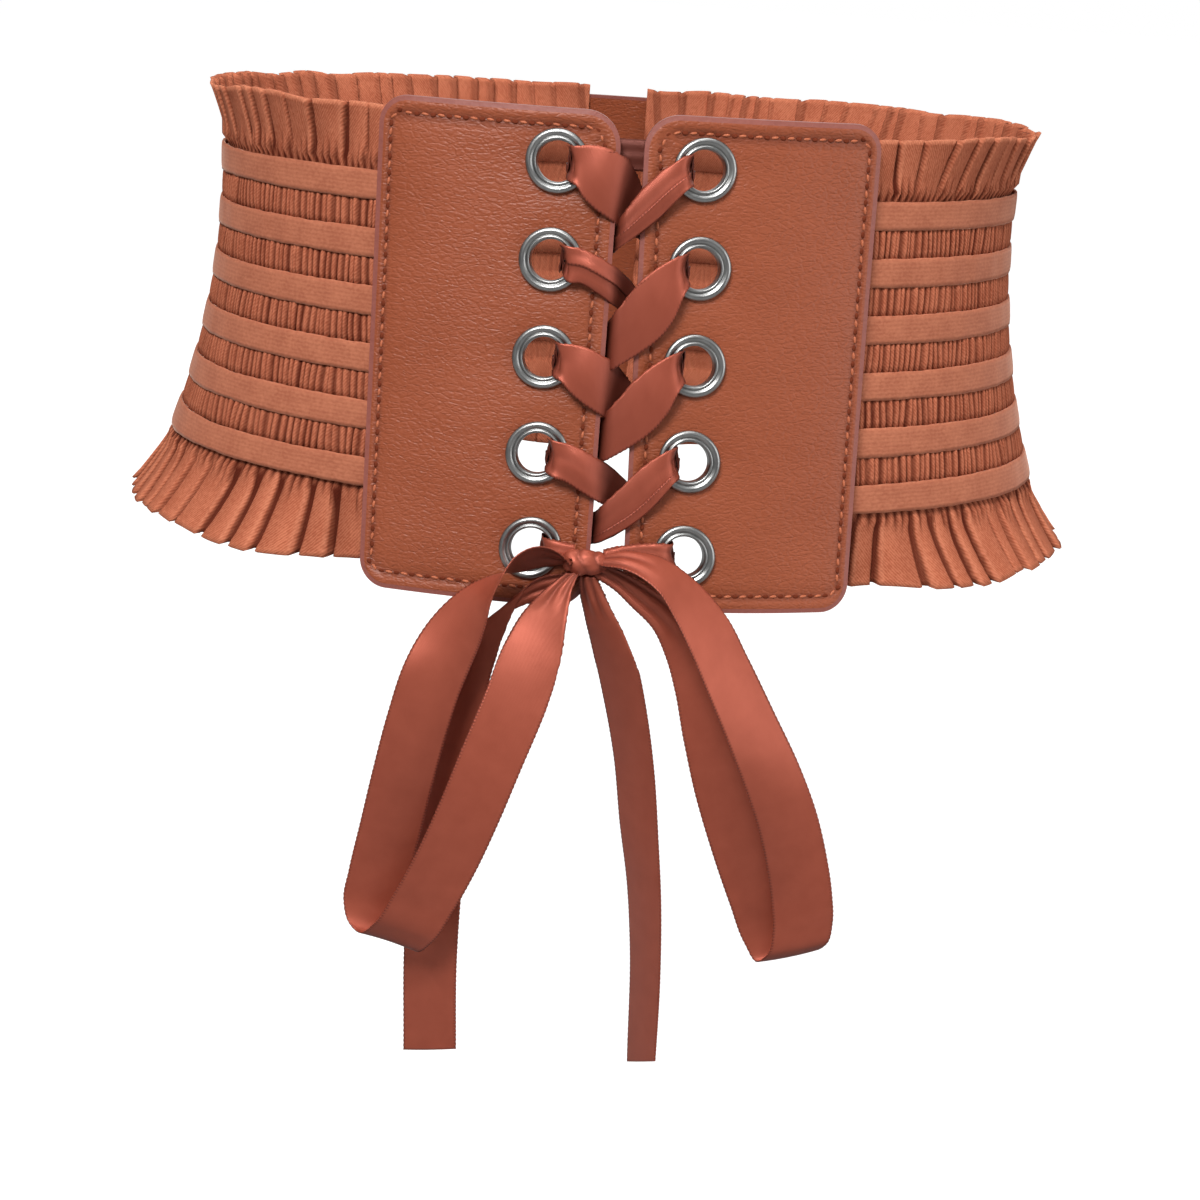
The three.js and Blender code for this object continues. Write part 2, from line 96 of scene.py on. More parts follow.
def unit(vectors: np.ndarray) -> np.ndarray:
    """Vectors along the last axis, made one long."""
    return vectors / np.maximum(np.linalg.norm(vectors, axis=-1, keepdims=True), 1e-12)


def smooth(x: np.ndarray) -> np.ndarray:
    """A smooth step from 0 at 0 to 1 at 1."""
    x = np.clip(x, 0.0, 1.0)
    return x * x * (3 - 2 * x)


def mix(a: float, b: float, share: np.ndarray) -> np.ndarray:
    """The value that is a share of the way from a to b."""
    return a + (b - a) * share


def wander(rng: np.random.Generator, at: np.ndarray, pace: float) -> np.ndarray:
    """A smooth random curve, about -1 to 1.

    Args:
        rng: the piece's own random numbers.
        at: where it is wanted, in millimetres.
        pace: the distance between its turns.

    Returns:
        Its value at each place.
    """
    count = int(np.max(at) / pace) + 4
    knots = rng.uniform(-1, 1, count)
    place = np.clip(at / pace, 0, count - 2.001)
    low = place.astype(int)
    return mix(knots[low], knots[low + 1], smooth(place - low))


def through(rows: np.ndarray, spacing: float) -> np.ndarray:
    """A smooth path through the rows of a table.

    Args:
        rows: one row for each station; the first three columns are its place.
        spacing: the distance between the new stations.

    Returns:
        The new rows.
    """
    chord = np.linalg.norm(np.diff(rows[:, :3], axis=0), axis=1)
    knots = np.concatenate([[0.0], np.cumsum(chord)])
    slope = np.gradient(rows, knots, axis=0)
    at = np.linspace(0, knots[-1], max(int(knots[-1] / spacing), 8) + 1)
    k = np.clip(np.searchsorted(knots, at, side="right") - 1, 0, len(chord) - 1)
    h = chord[k][:, None]
    x = (at - knots[k])[:, None] / h
    start = (2 * x**3 - 3 * x**2 + 1) * rows[k] + (x**3 - 2 * x**2 + x) * h * slope[k]
    end = (3 * x**2 - 2 * x**3) * rows[k + 1] + (x**3 - x**2) * h * slope[k + 1]
    return start + end


def deselect() -> None:
    """Leaves nothing selected."""
    bpy.ops.object.select_all(action="DESELECT")


def activate(piece: bpy.types.Object) -> None:
    """Leaves one piece selected and active.

    Args:
        piece: the piece.
    """
    deselect()
    piece.select_set(True)
    bpy.context.view_layer.objects.active = piece


def close_up(angle: float) -> None:
    """Turns the active piece's faces outwards and shades it smooth.

    Args:
        angle: the sharpest fold that is shaded smooth, in degrees.
    """
    bpy.ops.object.mode_set(mode="EDIT")
    bpy.ops.mesh.select_all(action="SELECT")
    bpy.ops.mesh.normals_make_consistent(inside=False)
    bpy.ops.object.mode_set(mode="OBJECT")
    bpy.ops.object.shade_smooth_by_angle(angle=math.radians(angle))


def lying_ball(segments: int, rings: int) -> bpy.types.Object:
    """A ball of radius 1 whose poles point left and right.

    Args:
        segments: the number of its faces round the poles.
        rings: the number of its faces from pole to pole.

    Returns:
        The ball.
    """
    deselect()
    turn = (0, math.pi / 2, 0)
    bpy.ops.mesh.primitive_uv_sphere_add(segments=segments, ring_count=rings, radius=1, rotation=turn)
    bpy.ops.object.transform_apply(location=False, rotation=True, scale=False)
    return bpy.context.object


def keep_values(mesh: bpy.types.Mesh, name: str, values: Sequence[float] | np.ndarray) -> None:
    """Keeps a number at each of a mesh's points, for a material to read."""
    attribute = mesh.attributes.new(name, "FLOAT", "POINT")
    attribute.data.foreach_set("value", np.asarray(values, np.float32))


def new_object(name: str, mesh: bpy.types.Mesh) -> bpy.types.Object:
    """Shows a mesh.

    Args:
        name: the name of the object that shows it.
        mesh: the mesh, with its points at their place.

    Returns:
        The object, at the origin.
    """
    piece = bpy.data.objects.new(name, mesh)
    bpy.context.scene.collection.objects.link(piece)
    return piece


def ride(piece: bpy.types.Object, nodes: Sequence[str] = ()) -> None:
    """Ties a finished piece to the frame.

    Args:
        piece: the piece.
        nodes: the solids that it stands for.
    """
    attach(piece, "root")
    if nodes:
        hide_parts(*nodes)
    LOG.info("%s: %d faces", piece.name, len(piece.data.polygons))


def thicken(middle: np.ndarray, wall: np.ndarray | float) -> tuple[np.ndarray, np.ndarray]:
    """The two skins of a sheet.

    Args:
        middle: the sheet's middle, a grid of places.
        wall: its thickness, one value or one for each place.

    Returns:
        The inner and the outer skin.
    """
    out = unit(np.cross(np.gradient(middle, axis=0), np.gradient(middle, axis=1)))
    half = np.broadcast_to(np.asarray(wall) / 2, middle.shape[:2])[..., None]
    return middle - out * half, middle + out * half


def wall_mesh(
    name: str,
    skins: tuple[np.ndarray, np.ndarray],
    uv: tuple[np.ndarray, np.ndarray],
    values: dict[str, tuple[np.ndarray, np.ndarray]] | None = None,
    mirrored: bool = False,
) -> bpy.types.Object:
    """A closed wall between two skins.

    Args:
        name: the piece's name.
        skins: the inner and the outer skin, grids of places in millimetres.
        uv: the cloth's own coordinates at each place, in millimetres.
        values: numbers that a material reads, by name, for each place of the inner and the outer skin.
        mirrored: whether the grid was mirrored, so that its faces have to be turned.

    Returns:
        The piece.
    """
    inner, outer = skins
    columns, rows = outer.shape[:2]
    count = columns * rows
    o = np.arange(count).reshape(columns, rows)
    i = o + count
    sets = [
        (o[:-1, :-1], o[1:, :-1], o[1:, 1:], o[:-1, 1:]),
        (i[:-1, :-1], i[:-1, 1:], i[1:, 1:], i[1:, :-1]),
        (i[:-1, 0], i[1:, 0], o[1:, 0], o[:-1, 0]),
        (o[:-1, -1], o[1:, -1], i[1:, -1], i[:-1, -1]),
        (i[0, :-1], o[0, :-1], o[0, 1:], i[0, 1:]),
        (o[-1, :-1], i[-1, :-1], i[-1, 1:], o[-1, 1:]),
    ]
    faces = np.concatenate([np.stack([c.ravel() for c in corners], axis=1) for corners in sets])
    if mirrored:
        faces = faces[:, ::-1]
    places = np.concatenate([outer.reshape(-1, 3), inner.reshape(-1, 3)]) * MM
    mesh = bpy.data.meshes.new(name)
    mesh.from_pydata(places.tolist(), [], faces.tolist())
    mesh.polygons.foreach_set("use_smooth", np.ones(len(faces), bool))
    corner = np.empty(len(mesh.loops), np.int32)
    mesh.loops.foreach_get("vertex_index", corner)
    flat = np.tile(np.stack([uv[0].ravel(), uv[1].ravel()], axis=1) * MM, (2, 1))
    layer = mesh.uv_layers.new(name="cloth")
    layer.data.foreach_set("uv", flat[corner].ravel())
    for key, (inside, outside) in (values or {}).items():
        keep_values(mesh, key, np.concatenate([outside.ravel(), inside.ravel()]))
    mesh.update()
    return new_object(name, mesh)


def repeated(name: str, unit_piece: bpy.types.Object, places: Sequence[Matrix]) -> bpy.types.Object:
    """One piece made of a small modelled one, copied to many places.

    Args:
        name: the new piece's name.
        unit_piece: the modelled piece, which is removed.
        places: where each copy goes.

    Returns:
        The new piece.
    """
    source = unit_piece.data
    points = np.array([v.co for v in source.vertices])
    loops = [list(p.vertices) for p in source.polygons]
    all_points: list[np.ndarray] = []
    all_faces: list[list[int]] = []
    for number, place in enumerate(places):
        turn = np.array(place)
        all_points.append(points @ turn[:3, :3].T + turn[:3, 3])
        start = number * len(points)
        all_faces.extend([start + v for v in loop] for loop in loops)
    mesh = bpy.data.meshes.new(name)
    mesh.from_pydata(np.concatenate(all_points).tolist(), [], all_faces)
    mesh.polygons.foreach_set("use_smooth", np.ones(len(all_faces), bool))
    bpy.data.objects.remove(unit_piece)
    return new_object(name, mesh)


# Shader building


class Nodes:
    """A short way to build a node tree."""

    def __init__(self, tree: bpy.types.NodeTree) -> None:
        """Starts on an empty tree."""
        self.tree = tree
        tree.nodes.clear()

    def add(self, kind: str, inputs: dict | None = None, **settings: object) -> bpy.types.Node:
        """Adds a node.

        Args:
            kind: the node's type.
            inputs: a value or an output for each input, by name or number.
            settings: the node's own settings.

        Returns:
            The node.
        """
        node = self.tree.nodes.new(kind)
        for key, value in settings.items():
            setattr(node, key, value)
        for key, value in (inputs or {}).items():
            if isinstance(value, bpy.types.NodeSocket):
                self.tree.links.new(value, node.inputs[key])
            else:
                node.inputs[key].default_value = value
        return node

    def math(self, operation: str, *values: object) -> bpy.types.NodeSocket:
        """A sum of numbers or outputs."""
        return self.add("ShaderNodeMath", dict(enumerate(values)), operation=operation).outputs[0]

    def vector(self, operation: str, a: object, b: object) -> bpy.types.Node:
        """A sum of two vectors."""
        return self.add("ShaderNodeVectorMath", {0: a, 1: b}, operation=operation)

    def cloud(self, place: object, scale: float, detail: float) -> bpy.types.NodeSocket:
        """Cloudy noise between 0 and 1."""
        inputs = {"Vector": place, "Scale": scale, "Detail": detail}
        return self.add("ShaderNodeTexNoise", inputs).outputs["Fac"]

    def ramp(
        self,
        value: object,
        given: tuple[float, float] = (0.0, 1.0),
        wanted: tuple[float, float] = (0.0, 1.0),
    ) -> bpy.types.NodeSocket:
        """Turns one range of a number into another.

        Args:
            value: the number.
            given: the range that it comes in.
            wanted: the range that it is turned into and kept in.

        Returns:
            The new number.
        """
        inputs = {0: value, 1: given[0], 2: given[1], 3: wanted[0], 4: wanted[1]}
        return self.add("ShaderNodeMapRange", inputs).outputs[0]

    def blend(self, share: object, a: object, b: object) -> bpy.types.NodeSocket:
        """A colour that is a share of the way from a to b."""
        return self.add("ShaderNodeMix", {0: share, 6: a, 7: b}, data_type="RGBA").outputs[2]

    def value(self, name: str) -> bpy.types.NodeSocket:
        """A number that the piece's mesh keeps at each place."""
        return self.add("ShaderNodeAttribute", attribute_name=name).outputs["Fac"]

    def group(self, tree: bpy.types.NodeTree, inputs: dict) -> bpy.types.Node:
        """Places a shared effect."""
        return self.add("ShaderNodeGroup", inputs, node_tree=tree)


def effect(name: str, inputs: dict[str, str], outputs: Sequence[str]) -> bpy.types.NodeTree:
    """An empty node group.

    Args:
        name: its name.
        inputs: the socket type of each input, by name.
        outputs: the names of its outputs, all numbers.

    Returns:
        The group.
    """
    tree = bpy.data.node_groups.new(name, "ShaderNodeTree")
    for key, kind in inputs.items():
        tree.interface.new_socket(name=key, in_out="INPUT", socket_type=kind)
    for key in outputs:
        tree.interface.new_socket(name=key, in_out="OUTPUT", socket_type="NodeSocketFloat")
    return tree


def threads_effect() -> bpy.types.NodeTree:
    """Parallel threads.

    Returns:
        A group that puts out a height, 0 between the threads and 1 on them.
    """
    kinds = {"Vector": "NodeSocketVector", "Direction": "NodeSocketVector"}
    kinds |= {"Per_Metre": "NodeSocketFloat", "Uneven": "NodeSocketFloat"}
    tree = effect("threads", kinds, ["Height"])
    nodes = Nodes(tree)
    given = nodes.add("NodeGroupInput").outputs
    across = nodes.vector("DOT_PRODUCT", given["Vector"], given["Direction"]).outputs["Value"]
    rough = nodes.cloud(given["Vector"], scale=700.0, detail=2.0)
    shift = nodes.math("MULTIPLY", nodes.math("SUBTRACT", rough, 0.5), given["Uneven"])
    turns = nodes.math("ADD", nodes.math("MULTIPLY", across, given["Per_Metre"]), shift)
    wave = nodes.math("SINE", nodes.math("MULTIPLY", turns, math.tau))
    nodes.add("NodeGroupOutput", {"Height": nodes.math("MULTIPLY_ADD", wave, 0.5, 0.5)})
    return tree


def grain_effect() -> bpy.types.NodeTree:
    """Pebbled grain with fine creases.

    Returns:
        A group that puts out a height, and a mottle for colour and gloss.
    """
    bend, crease_width = 0.0012, 0.16
    crease_height, pebble_height, broad_height = 0.35, -0.75, 0.9
    broad_mottle, pebble_mottle = 0.75, 0.3
    kinds = {"Vector": "NodeSocketVector", "Pebbles": "NodeSocketFloat", "Creases": "NodeSocketFloat"}
    tree = effect("grain", kinds, ["Height", "Mottle"])
    nodes = Nodes(tree)
    given = nodes.add("NodeGroupInput").outputs
    bent = nodes.add("ShaderNodeTexNoise", {"Vector": given["Vector"], "Scale": 260.0, "Detail": 3.0})
    moved = nodes.vector("MULTIPLY", bent.outputs["Color"], (bend, bend, bend)).outputs[0]
    place = nodes.vector("ADD", given["Vector"], moved).outputs[0]
    cells = {"Vector": place, "Scale": given["Pebbles"], "Smoothness": 0.6}
    pebble = nodes.add("ShaderNodeTexVoronoi", cells, feature="SMOOTH_F1").outputs["Distance"]
    lines = {"Vector": place, "Scale": given["Creases"]}
    crease = nodes.add("ShaderNodeTexVoronoi", lines, feature="DISTANCE_TO_EDGE").outputs["Distance"]
    fold = nodes.ramp(crease, (0.0, crease_width))
    broad = nodes.cloud(given["Vector"], scale=55.0, detail=5.0)
    height = nodes.math("MULTIPLY_ADD", fold, crease_height, nodes.math("MULTIPLY", pebble, pebble_height))
    height = nodes.math("MULTIPLY_ADD", broad, broad_height, height)
    mottle = nodes.math("MULTIPLY", pebble, pebble_mottle)
    mottle = nodes.math("MULTIPLY_ADD", broad, broad_mottle, mottle)
    nodes.add("NodeGroupOutput", {"Height": height, "Mottle": mottle})
    return tree


def rgba(colour: Colour | list[float]) -> tuple[float, float, float, float]:
    """A colour with full alpha."""
    return (*colour, 1.0)


def start_material(name: str) -> tuple[bpy.types.Material, Nodes]:
    """Starts a material.

    Args:
        name: its name.

    Returns:
        The material and the builder of its nodes.
    """
    made = bpy.data.materials.new(name)
    made.use_nodes = True
    return made, Nodes(made.node_tree)


def end_material(nodes: Nodes, inputs: dict, height: object = None, bump: float = 0.0) -> None:
    """Adds the shader and the output.

    Args:
        nodes: the material's builder.
        inputs: the shader's inputs.
        height: what the bump reads, if anything.
        bump: the bump's depth in metres.
    """
    if height is not None:
        relief = nodes.add("ShaderNodeBump", {"Height": height, "Distance": bump, "Strength": 1.0})
        inputs = inputs | {"Normal": relief.outputs[0]}
    shader = nodes.add("ShaderNodeBsdfPrincipled", inputs)
    nodes.add("ShaderNodeOutputMaterial", {"Surface": shader.outputs[0]})


@dataclass(frozen=True)
class LeatherFinish:
    """Soft pebbled leatherette."""

    name: str
    dark: Colour
    light: Colour
    # Painted shade: the colour that the leather is darkened towards along the stitched groove
    groove: Colour
    stretch: tuple[float, float, float] = (0.5, 0.5, 1.0)
    pebbles_per_metre: float = 1500.0
    creases_per_metre: float = 620.0
    roughness: tuple[float, float] = (0.36, 0.56)
    specular: float = 0.36
    relief: float = 0.00017

    def material(self, grain: bpy.types.NodeTree) -> bpy.types.Material:
        """Builds the Blender material.

        Args:
            grain: the shared grain.

        Returns:
            The material.
        """
        made, nodes = start_material(self.name)
        place = nodes.add("ShaderNodeTexCoord").outputs["Object"]
        level = nodes.vector("MULTIPLY", place, self.stretch).outputs[0]
        sizes = {"Pebbles": self.pebbles_per_metre, "Creases": self.creases_per_metre}
        skin = nodes.group(grain, {"Vector": level} | sizes).outputs
        colour = nodes.blend(skin["Mottle"], rgba(self.dark), rgba(self.light))
        # Painted shade along the stitched groove
        colour = nodes.blend(nodes.value("groove"), colour, rgba(self.groove))
        rough = nodes.ramp(skin["Mottle"], wanted=self.roughness)
        shader = {"Base Color": colour, "Roughness": rough, "Specular IOR Level": self.specular}
        end_material(nodes, shader, skin["Height"], self.relief)
        return made


@dataclass(frozen=True)
class ClothFinish:
    """Woven cloth whose threads run across its own UV."""

    name: str
    dark: Colour
    light: Colour
    direction: tuple[float, float, float]
    per_metre: float
    relief: float
    uneven: float = 0.6
    roughness: float = 0.86
    sheen: float = 0.25
    sheen_roughness: float = 0.35
    sheen_tint: Colour = (0.9, 0.62, 0.5)
    specular: float = 0.3
    contrast: float = 0.35
    cloud_share: float = 0.7
    spread: tuple[float, float] = (0.6, 1.1)
    fuzz_relief: float = 0.4
    # Painted shade: the valley colour goes in where the mesh's depth is high
    shade: float = 0.0
    shade_curve: float = 0.65
    valley: Colour = (0.065, 0.008, 0.003)
    # The colour of the painted highlight on each groove's lip, and of the paler hem
    worn_hem: Colour = (0.6, 0.23, 0.13)

    def material(self, threads: bpy.types.NodeTree) -> bpy.types.Material:
        """Builds the Blender material.

        Args:
            threads: the shared threads.

        Returns:
            The material.
        """
        made, nodes = start_material(self.name)
        place = nodes.add("ShaderNodeUVMap", uv_map="cloth").outputs["UV"]
        kind = {"Direction": self.direction, "Per_Metre": self.per_metre, "Uneven": self.uneven}
        weave = nodes.group(threads, {"Vector": place} | kind).outputs["Height"]
        fuzz = nodes.cloud(place, scale=900.0, detail=3.0)
        cloud = nodes.cloud(place, scale=130.0, detail=2.0)
        mottle = nodes.math("MULTIPLY_ADD", cloud, self.cloud_share, fuzz)
        mottle = nodes.math("MULTIPLY_ADD", weave, self.contrast, mottle)
        low, high = (end + self.contrast / 2 for end in self.spread)
        colour = nodes.blend(nodes.ramp(mottle, (low, high)), rgba(self.dark), rgba(self.light))
        if self.shade:
            colour = self.shaded(nodes, colour, fuzz)
        shader = {
            "Base Color": colour,
            "Roughness": self.roughness,
            "Specular IOR Level": self.specular,
            "Sheen Weight": self.sheen,
            "Sheen Roughness": self.sheen_roughness,
            "Sheen Tint": rgba(self.sheen_tint),
        }
        end_material(nodes, shader, nodes.math("MULTIPLY_ADD", fuzz, self.fuzz_relief, weave), self.relief)
        return made

    def shaded(
        self, nodes: Nodes, colour: bpy.types.NodeSocket, fuzz: bpy.types.NodeSocket
    ) -> bpy.types.NodeSocket:
        """Paints shade into the valleys, a highlight on each groove's lip, and a paler hem.

        Args:
            nodes: the material's builder.
            colour: the cloth's colour.
            fuzz: the noise that breaks up the painted highlight and the pale hem.

        Returns:
            The new colour.
        """
        depth = nodes.value("depth")
        valley = nodes.math("POWER", nodes.math("MAXIMUM", depth, 0.0), self.shade_curve)
        colour = nodes.blend(nodes.math("MULTIPLY", valley, self.shade), colour, rgba(self.valley))
        worn = nodes.math("MAXIMUM", nodes.math("MULTIPLY", depth, -1.0), 0.0)
        return nodes.blend(nodes.math("MULTIPLY", worn, fuzz), colour, rgba(self.worn_hem))


@dataclass(frozen=True)
class SatinFinish:
    """Satin ribbon with a stitched line along both of its woven edges."""

    name: str = "satin"
    dark: Colour = (0.305, 0.063, 0.034)
    light: Colour = (0.395, 0.09, 0.051)
    edge: Colour = (0.15, 0.03, 0.018)
    edge_strength: float = 0.8
    edge_line: tuple[float, float] = (0.0003, 0.0009)
    edge_relief: float = 3.0
    shadow: Colour = (0.075, 0.015, 0.009)
    shadow_strength: float = 0.9
    width: float = 0.018
    threads_per_metre: float = 3200.0
    loops_per_metre: float = 950.0
    metallic: float = 0.42
    roughness: float = 0.42
    specular: float = 0.35
    relief: float = 0.00002

    def material(self, threads: bpy.types.NodeTree) -> bpy.types.Material:
        """Builds the Blender material.

        Args:
            threads: the shared threads.

        Returns:
            The material.
        """
        made, nodes = start_material(self.name)
        place = nodes.add("ShaderNodeUVMap", uv_map="cloth").outputs["UV"]
        lengthways = {"Vector": place, "Direction": (1.0, 0.0, 0.0)}
        fine = lengthways | {"Per_Metre": self.threads_per_metre, "Uneven": 0.6}
        loops = lengthways | {"Per_Metre": self.loops_per_metre, "Uneven": 0.15}
        weave, stitches = (nodes.group(threads, kind).outputs["Height"] for kind in (fine, loops))
        colour = nodes.blend(nodes.cloud(place, scale=160.0, detail=3.0), rgba(self.dark), rgba(self.light))
        across = nodes.add("ShaderNodeSeparateXYZ", {0: place}).outputs["Y"]
        from_middle = nodes.math("ABSOLUTE", nodes.math("SUBTRACT", across, self.width / 2))
        line = nodes.ramp(nodes.math("SUBTRACT", self.width / 2, from_middle), self.edge_line, (1.0, 0.0))
        mask = nodes.math("MULTIPLY", line, nodes.math("MULTIPLY", stitches, self.edge_strength))
        colour = nodes.blend(mask, colour, rgba(self.edge))
        shadow = nodes.math("MULTIPLY", nodes.value("shade"), self.shadow_strength)
        shader = {
            "Base Color": nodes.blend(shadow, colour, rgba(self.shadow)),
            "Roughness": self.roughness,
            "Metallic": self.metallic,
            "Specular IOR Level": self.specular,
        }
        end_material(nodes, shader, nodes.math("MULTIPLY_ADD", mask, self.edge_relief, weave), self.relief)
        return made


@dataclass(frozen=True)
class MottledFinish:
    """A small part's finish: one colour with a faint mottle, whose gloss follows it where it has a range."""

    name: str
    dark: Colour
    light: Colour
    roughness: float | tuple[float, float]
    specular: float = 0.35
    metallic: float = 0.0
    scale: float = 900.0
    detail: float = 3.0
    relief: float = 0.0001

    def material(self) -> bpy.types.Material:
        """Builds the Blender material.

        Returns:
            The material.
        """
        made, nodes = start_material(self.name)
        place = nodes.add("ShaderNodeTexCoord").outputs["Object"]
        cloud = nodes.cloud(place, self.scale, self.detail)
        even = isinstance(self.roughness, float)
        shader = {
            "Base Color": nodes.blend(cloud, rgba(self.dark), rgba(self.light)),
            "Roughness": self.roughness if even else nodes.ramp(cloud, wanted=self.roughness),
            "Metallic": self.metallic,
            "Specular IOR Level": self.specular,
        }
        end_material(nodes, shader, cloud, self.relief)
        return made


@dataclass
class Finishes:
    """All the belt's materials."""

    leather: bpy.types.Material = field(init=False)
    edge: bpy.types.Material = field(init=False)
    thread: bpy.types.Material = field(init=False)
    hole: bpy.types.Material = field(init=False)
    twill: bpy.types.Material = field(init=False)
    elastic: bpy.types.Material = field(init=False)
    satin: bpy.types.Material = field(init=False)
    metal: bpy.types.Material = field(init=False)

    def __post_init__(self) -> None:
        """Makes every material once."""
        grain, threads = grain_effect(), threads_effect()
        self.leather = LeatherFinish(
            "leather", dark=(0.205, 0.0435, 0.0145), light=(0.295, 0.069, 0.0255), groove=(0.15, 0.031, 0.011)
        ).material(grain)
        self.edge = MottledFinish(
            "painted_edge", dark=(0.2, 0.056, 0.042), light=(0.27, 0.084, 0.064), roughness=0.5
        ).material()
        self.thread = MottledFinish(
            "thread", dark=(0.34, 0.08, 0.03), light=(0.46, 0.135, 0.06), roughness=0.55
        ).material()
        # Painted shade: the dark colour of the beads that stand for the needle holes
        self.hole = MottledFinish(
            "needle_hole", dark=(0.11, 0.02, 0.008), light=(0.16, 0.033, 0.014), roughness=0.8, specular=0.08
        ).material()
        self.twill = ClothFinish(
            "twill",
            dark=(0.33, 0.088, 0.044),
            light=(0.47, 0.15, 0.08),
            direction=(0.71, 0.71, 0.0),
            per_metre=1250.0,
            relief=0.00006,
            uneven=0.95,
            sheen=0.0,
            specular=0.08,
            contrast=0.4,
            shade=0.97,
        ).material(threads)
        self.elastic = ClothFinish(
            "elastic",
            dark=(0.31, 0.09, 0.045),
            light=(0.41, 0.135, 0.07),
            direction=(0.0, 1.0, 0.0),
            per_metre=850.0,
            relief=0.00002,
            uneven=0.9,
            sheen=0.4,
            contrast=0.2,
        ).material(threads)
        self.satin = SatinFinish().material(threads)
        self.metal = MottledFinish(
            "dark_nickel",
            dark=(0.2, 0.2, 0.2),
            light=(0.37, 0.37, 0.36),
            roughness=(0.26, 0.42),
            specular=0.5,
            metallic=1.0,
            scale=240.0,
            detail=5.0,
            relief=0.00002,
        ).material()


# The shape that everything follows


@dataclass(frozen=True)
class Waist:
    """The oval that the belt goes round, at the cloth's inner face."""

    half_width: float = 127.1
    width_lean: float = -0.181
    width_hollow: float = 0.00215
    half_depth: float = 84.5
    depth_lean: float = -0.136

    def halves(self, z: np.ndarray) -> tuple[np.ndarray, np.ndarray]:
        """The oval's half width and half depth at a height."""
        width = self.half_width + self.width_lean * z + self.width_hollow * z * z
        return width, self.half_depth + self.depth_lean * z

    def point(self, angle: np.ndarray, z: np.ndarray, offset: np.ndarray) -> np.ndarray:
        """Places on the oval.

        Args:
            angle: the angle round it: 0 is the front, and it grows towards +X.
            z: the height.
            offset: the distance outwards from the oval.

        Returns:
            The places, along a last axis of x, y and z.
        """
        width, depth = self.halves(z)
        x = (width + offset) * np.sin(angle)
        y = -(depth + offset) * np.cos(angle)
        return np.stack(np.broadcast_arrays(x, y, z), axis=-1)

    def front_angle(self, x: np.ndarray, z: np.ndarray, offset: np.ndarray) -> np.ndarray:
        """The angle at a distance x from the middle line, at the front."""
        return np.arcsin(x / (self.halves(z)[0] + offset))

    def front(self, x: np.ndarray, z: np.ndarray, offset: np.ndarray) -> np.ndarray:
        """Places at the front, at a distance x from the middle line."""
        return self.point(self.front_angle(x, z, offset), z, offset)

    def back(self, x: np.ndarray, z: np.ndarray, offset: np.ndarray) -> np.ndarray:
        """Places at the back, at a distance x from the middle line."""
        return self.point(np.pi - self.front_angle(x, z, offset), z, offset)

    def directions(self, x: float, z: float, offset: float) -> tuple[np.ndarray, np.ndarray, np.ndarray]:
        """The directions of the surface at a place at the front.

        Args:
            x: its distance from the middle line.
            z: its height.
            offset: its distance outwards from the oval.

        Returns:
            The level, the upward and the outward direction.
        """
        angle = self.front_angle(x, z, offset)
        step = 0.01
        level = unit(self.point(angle + step, z, offset) - self.point(angle - step, z, offset))
        up = unit(self.point(angle, z + 1, offset) - self.point(angle, z - 1, offset))
        return level, up, unit(np.cross(level, up))


WAIST = Waist()


@dataclass(frozen=True)
class RoundedBox:
    """A flat outline with rounded corners; u runs from the near edge to the far one."""

    width: float
    bottom: float
    top: float
    near_corner: float
    far_corner: float
    inset_near: float = 0.0
    inset_far: float = 0.0
    inset_ends: float = 0.0

    def inset(self, near: float, far: float, ends: float) -> "RoundedBox":
        """A smaller outline inside this one."""
        box = (self.width, self.bottom, self.top, self.near_corner, self.far_corner)
        return RoundedBox(*box, near, far, ends)

    def limits(self) -> tuple[float, float, float, float]:
        """Its lowest and highest u, and its lowest and highest v."""
        low, high = self.inset_near, self.width - self.inset_far
        return low, high, self.bottom + self.inset_ends, self.top - self.inset_ends

    def depth(self, u: np.ndarray, v: np.ndarray) -> np.ndarray:
        """How far inside the outline some places are.

        Args:
            u: their distance from the near edge.
            v: their height.

        Returns:
            The distance to the outline, below 0 outside it.
        """
        low_u, high_u, low_v, high_v = self.limits()
        corner = np.where(u < self.width / 2, self.near_corner, self.far_corner)
        corner = np.maximum(corner - self.inset_ends, 1.0)
        across = np.abs(u - (low_u + high_u) / 2) - (high_u - low_u) / 2 + corner
        along = np.abs(v - (low_v + high_v) / 2) - (high_v - low_v) / 2 + corner
        outside = np.hypot(np.maximum(across, 0), np.maximum(along, 0))
        return corner - outside - np.minimum(np.maximum(across, along), 0)

    def walk(self, pitch: float) -> np.ndarray:
        """Places along the outline, evenly spaced.

        Args:
            pitch: the distance between them, which is fitted to the outline's length.

        Returns:
            Rows of u, v and heading.
        """
        low_u, high_u, low_v, high_v = self.limits()
        near = max(self.near_corner - self.inset_ends, 1.0)
        far = max(self.far_corner - self.inset_ends, 1.0)
        centres = [
            (high_u - far, low_v + far, far, -90),
            (high_u - far, high_v - far, far, 0),
            (low_u + near, high_v - near, near, 90),
            (low_u + near, low_v + near, near, 180),
        ]
        turns = np.radians(np.linspace(0, 90, 10))
        points = [
            (u + r * np.cos(math.radians(start) + turns), v + r * np.sin(math.radians(start) + turns))
            for u, v, r, start in centres
        ]
        line = np.concatenate([np.stack(p, axis=1) for p in points])
        line = np.concatenate([line, line[:1]])
        length = np.concatenate([[0], np.cumsum(np.linalg.norm(np.diff(line, axis=0), axis=1))])
        count = round(length[-1] / pitch)
        at = (np.arange(count) + 0.5) * length[-1] / count
        u, v = (np.interp(at, length, line[:, k]) for k in (0, 1))
        ahead = [np.interp((at + 0.5) % length[-1], length, line[:, k]) for k in (0, 1)]
        return np.stack([u, v, np.arctan2(ahead[1] - v, ahead[0] - u)], axis=1)


# Leather pieces


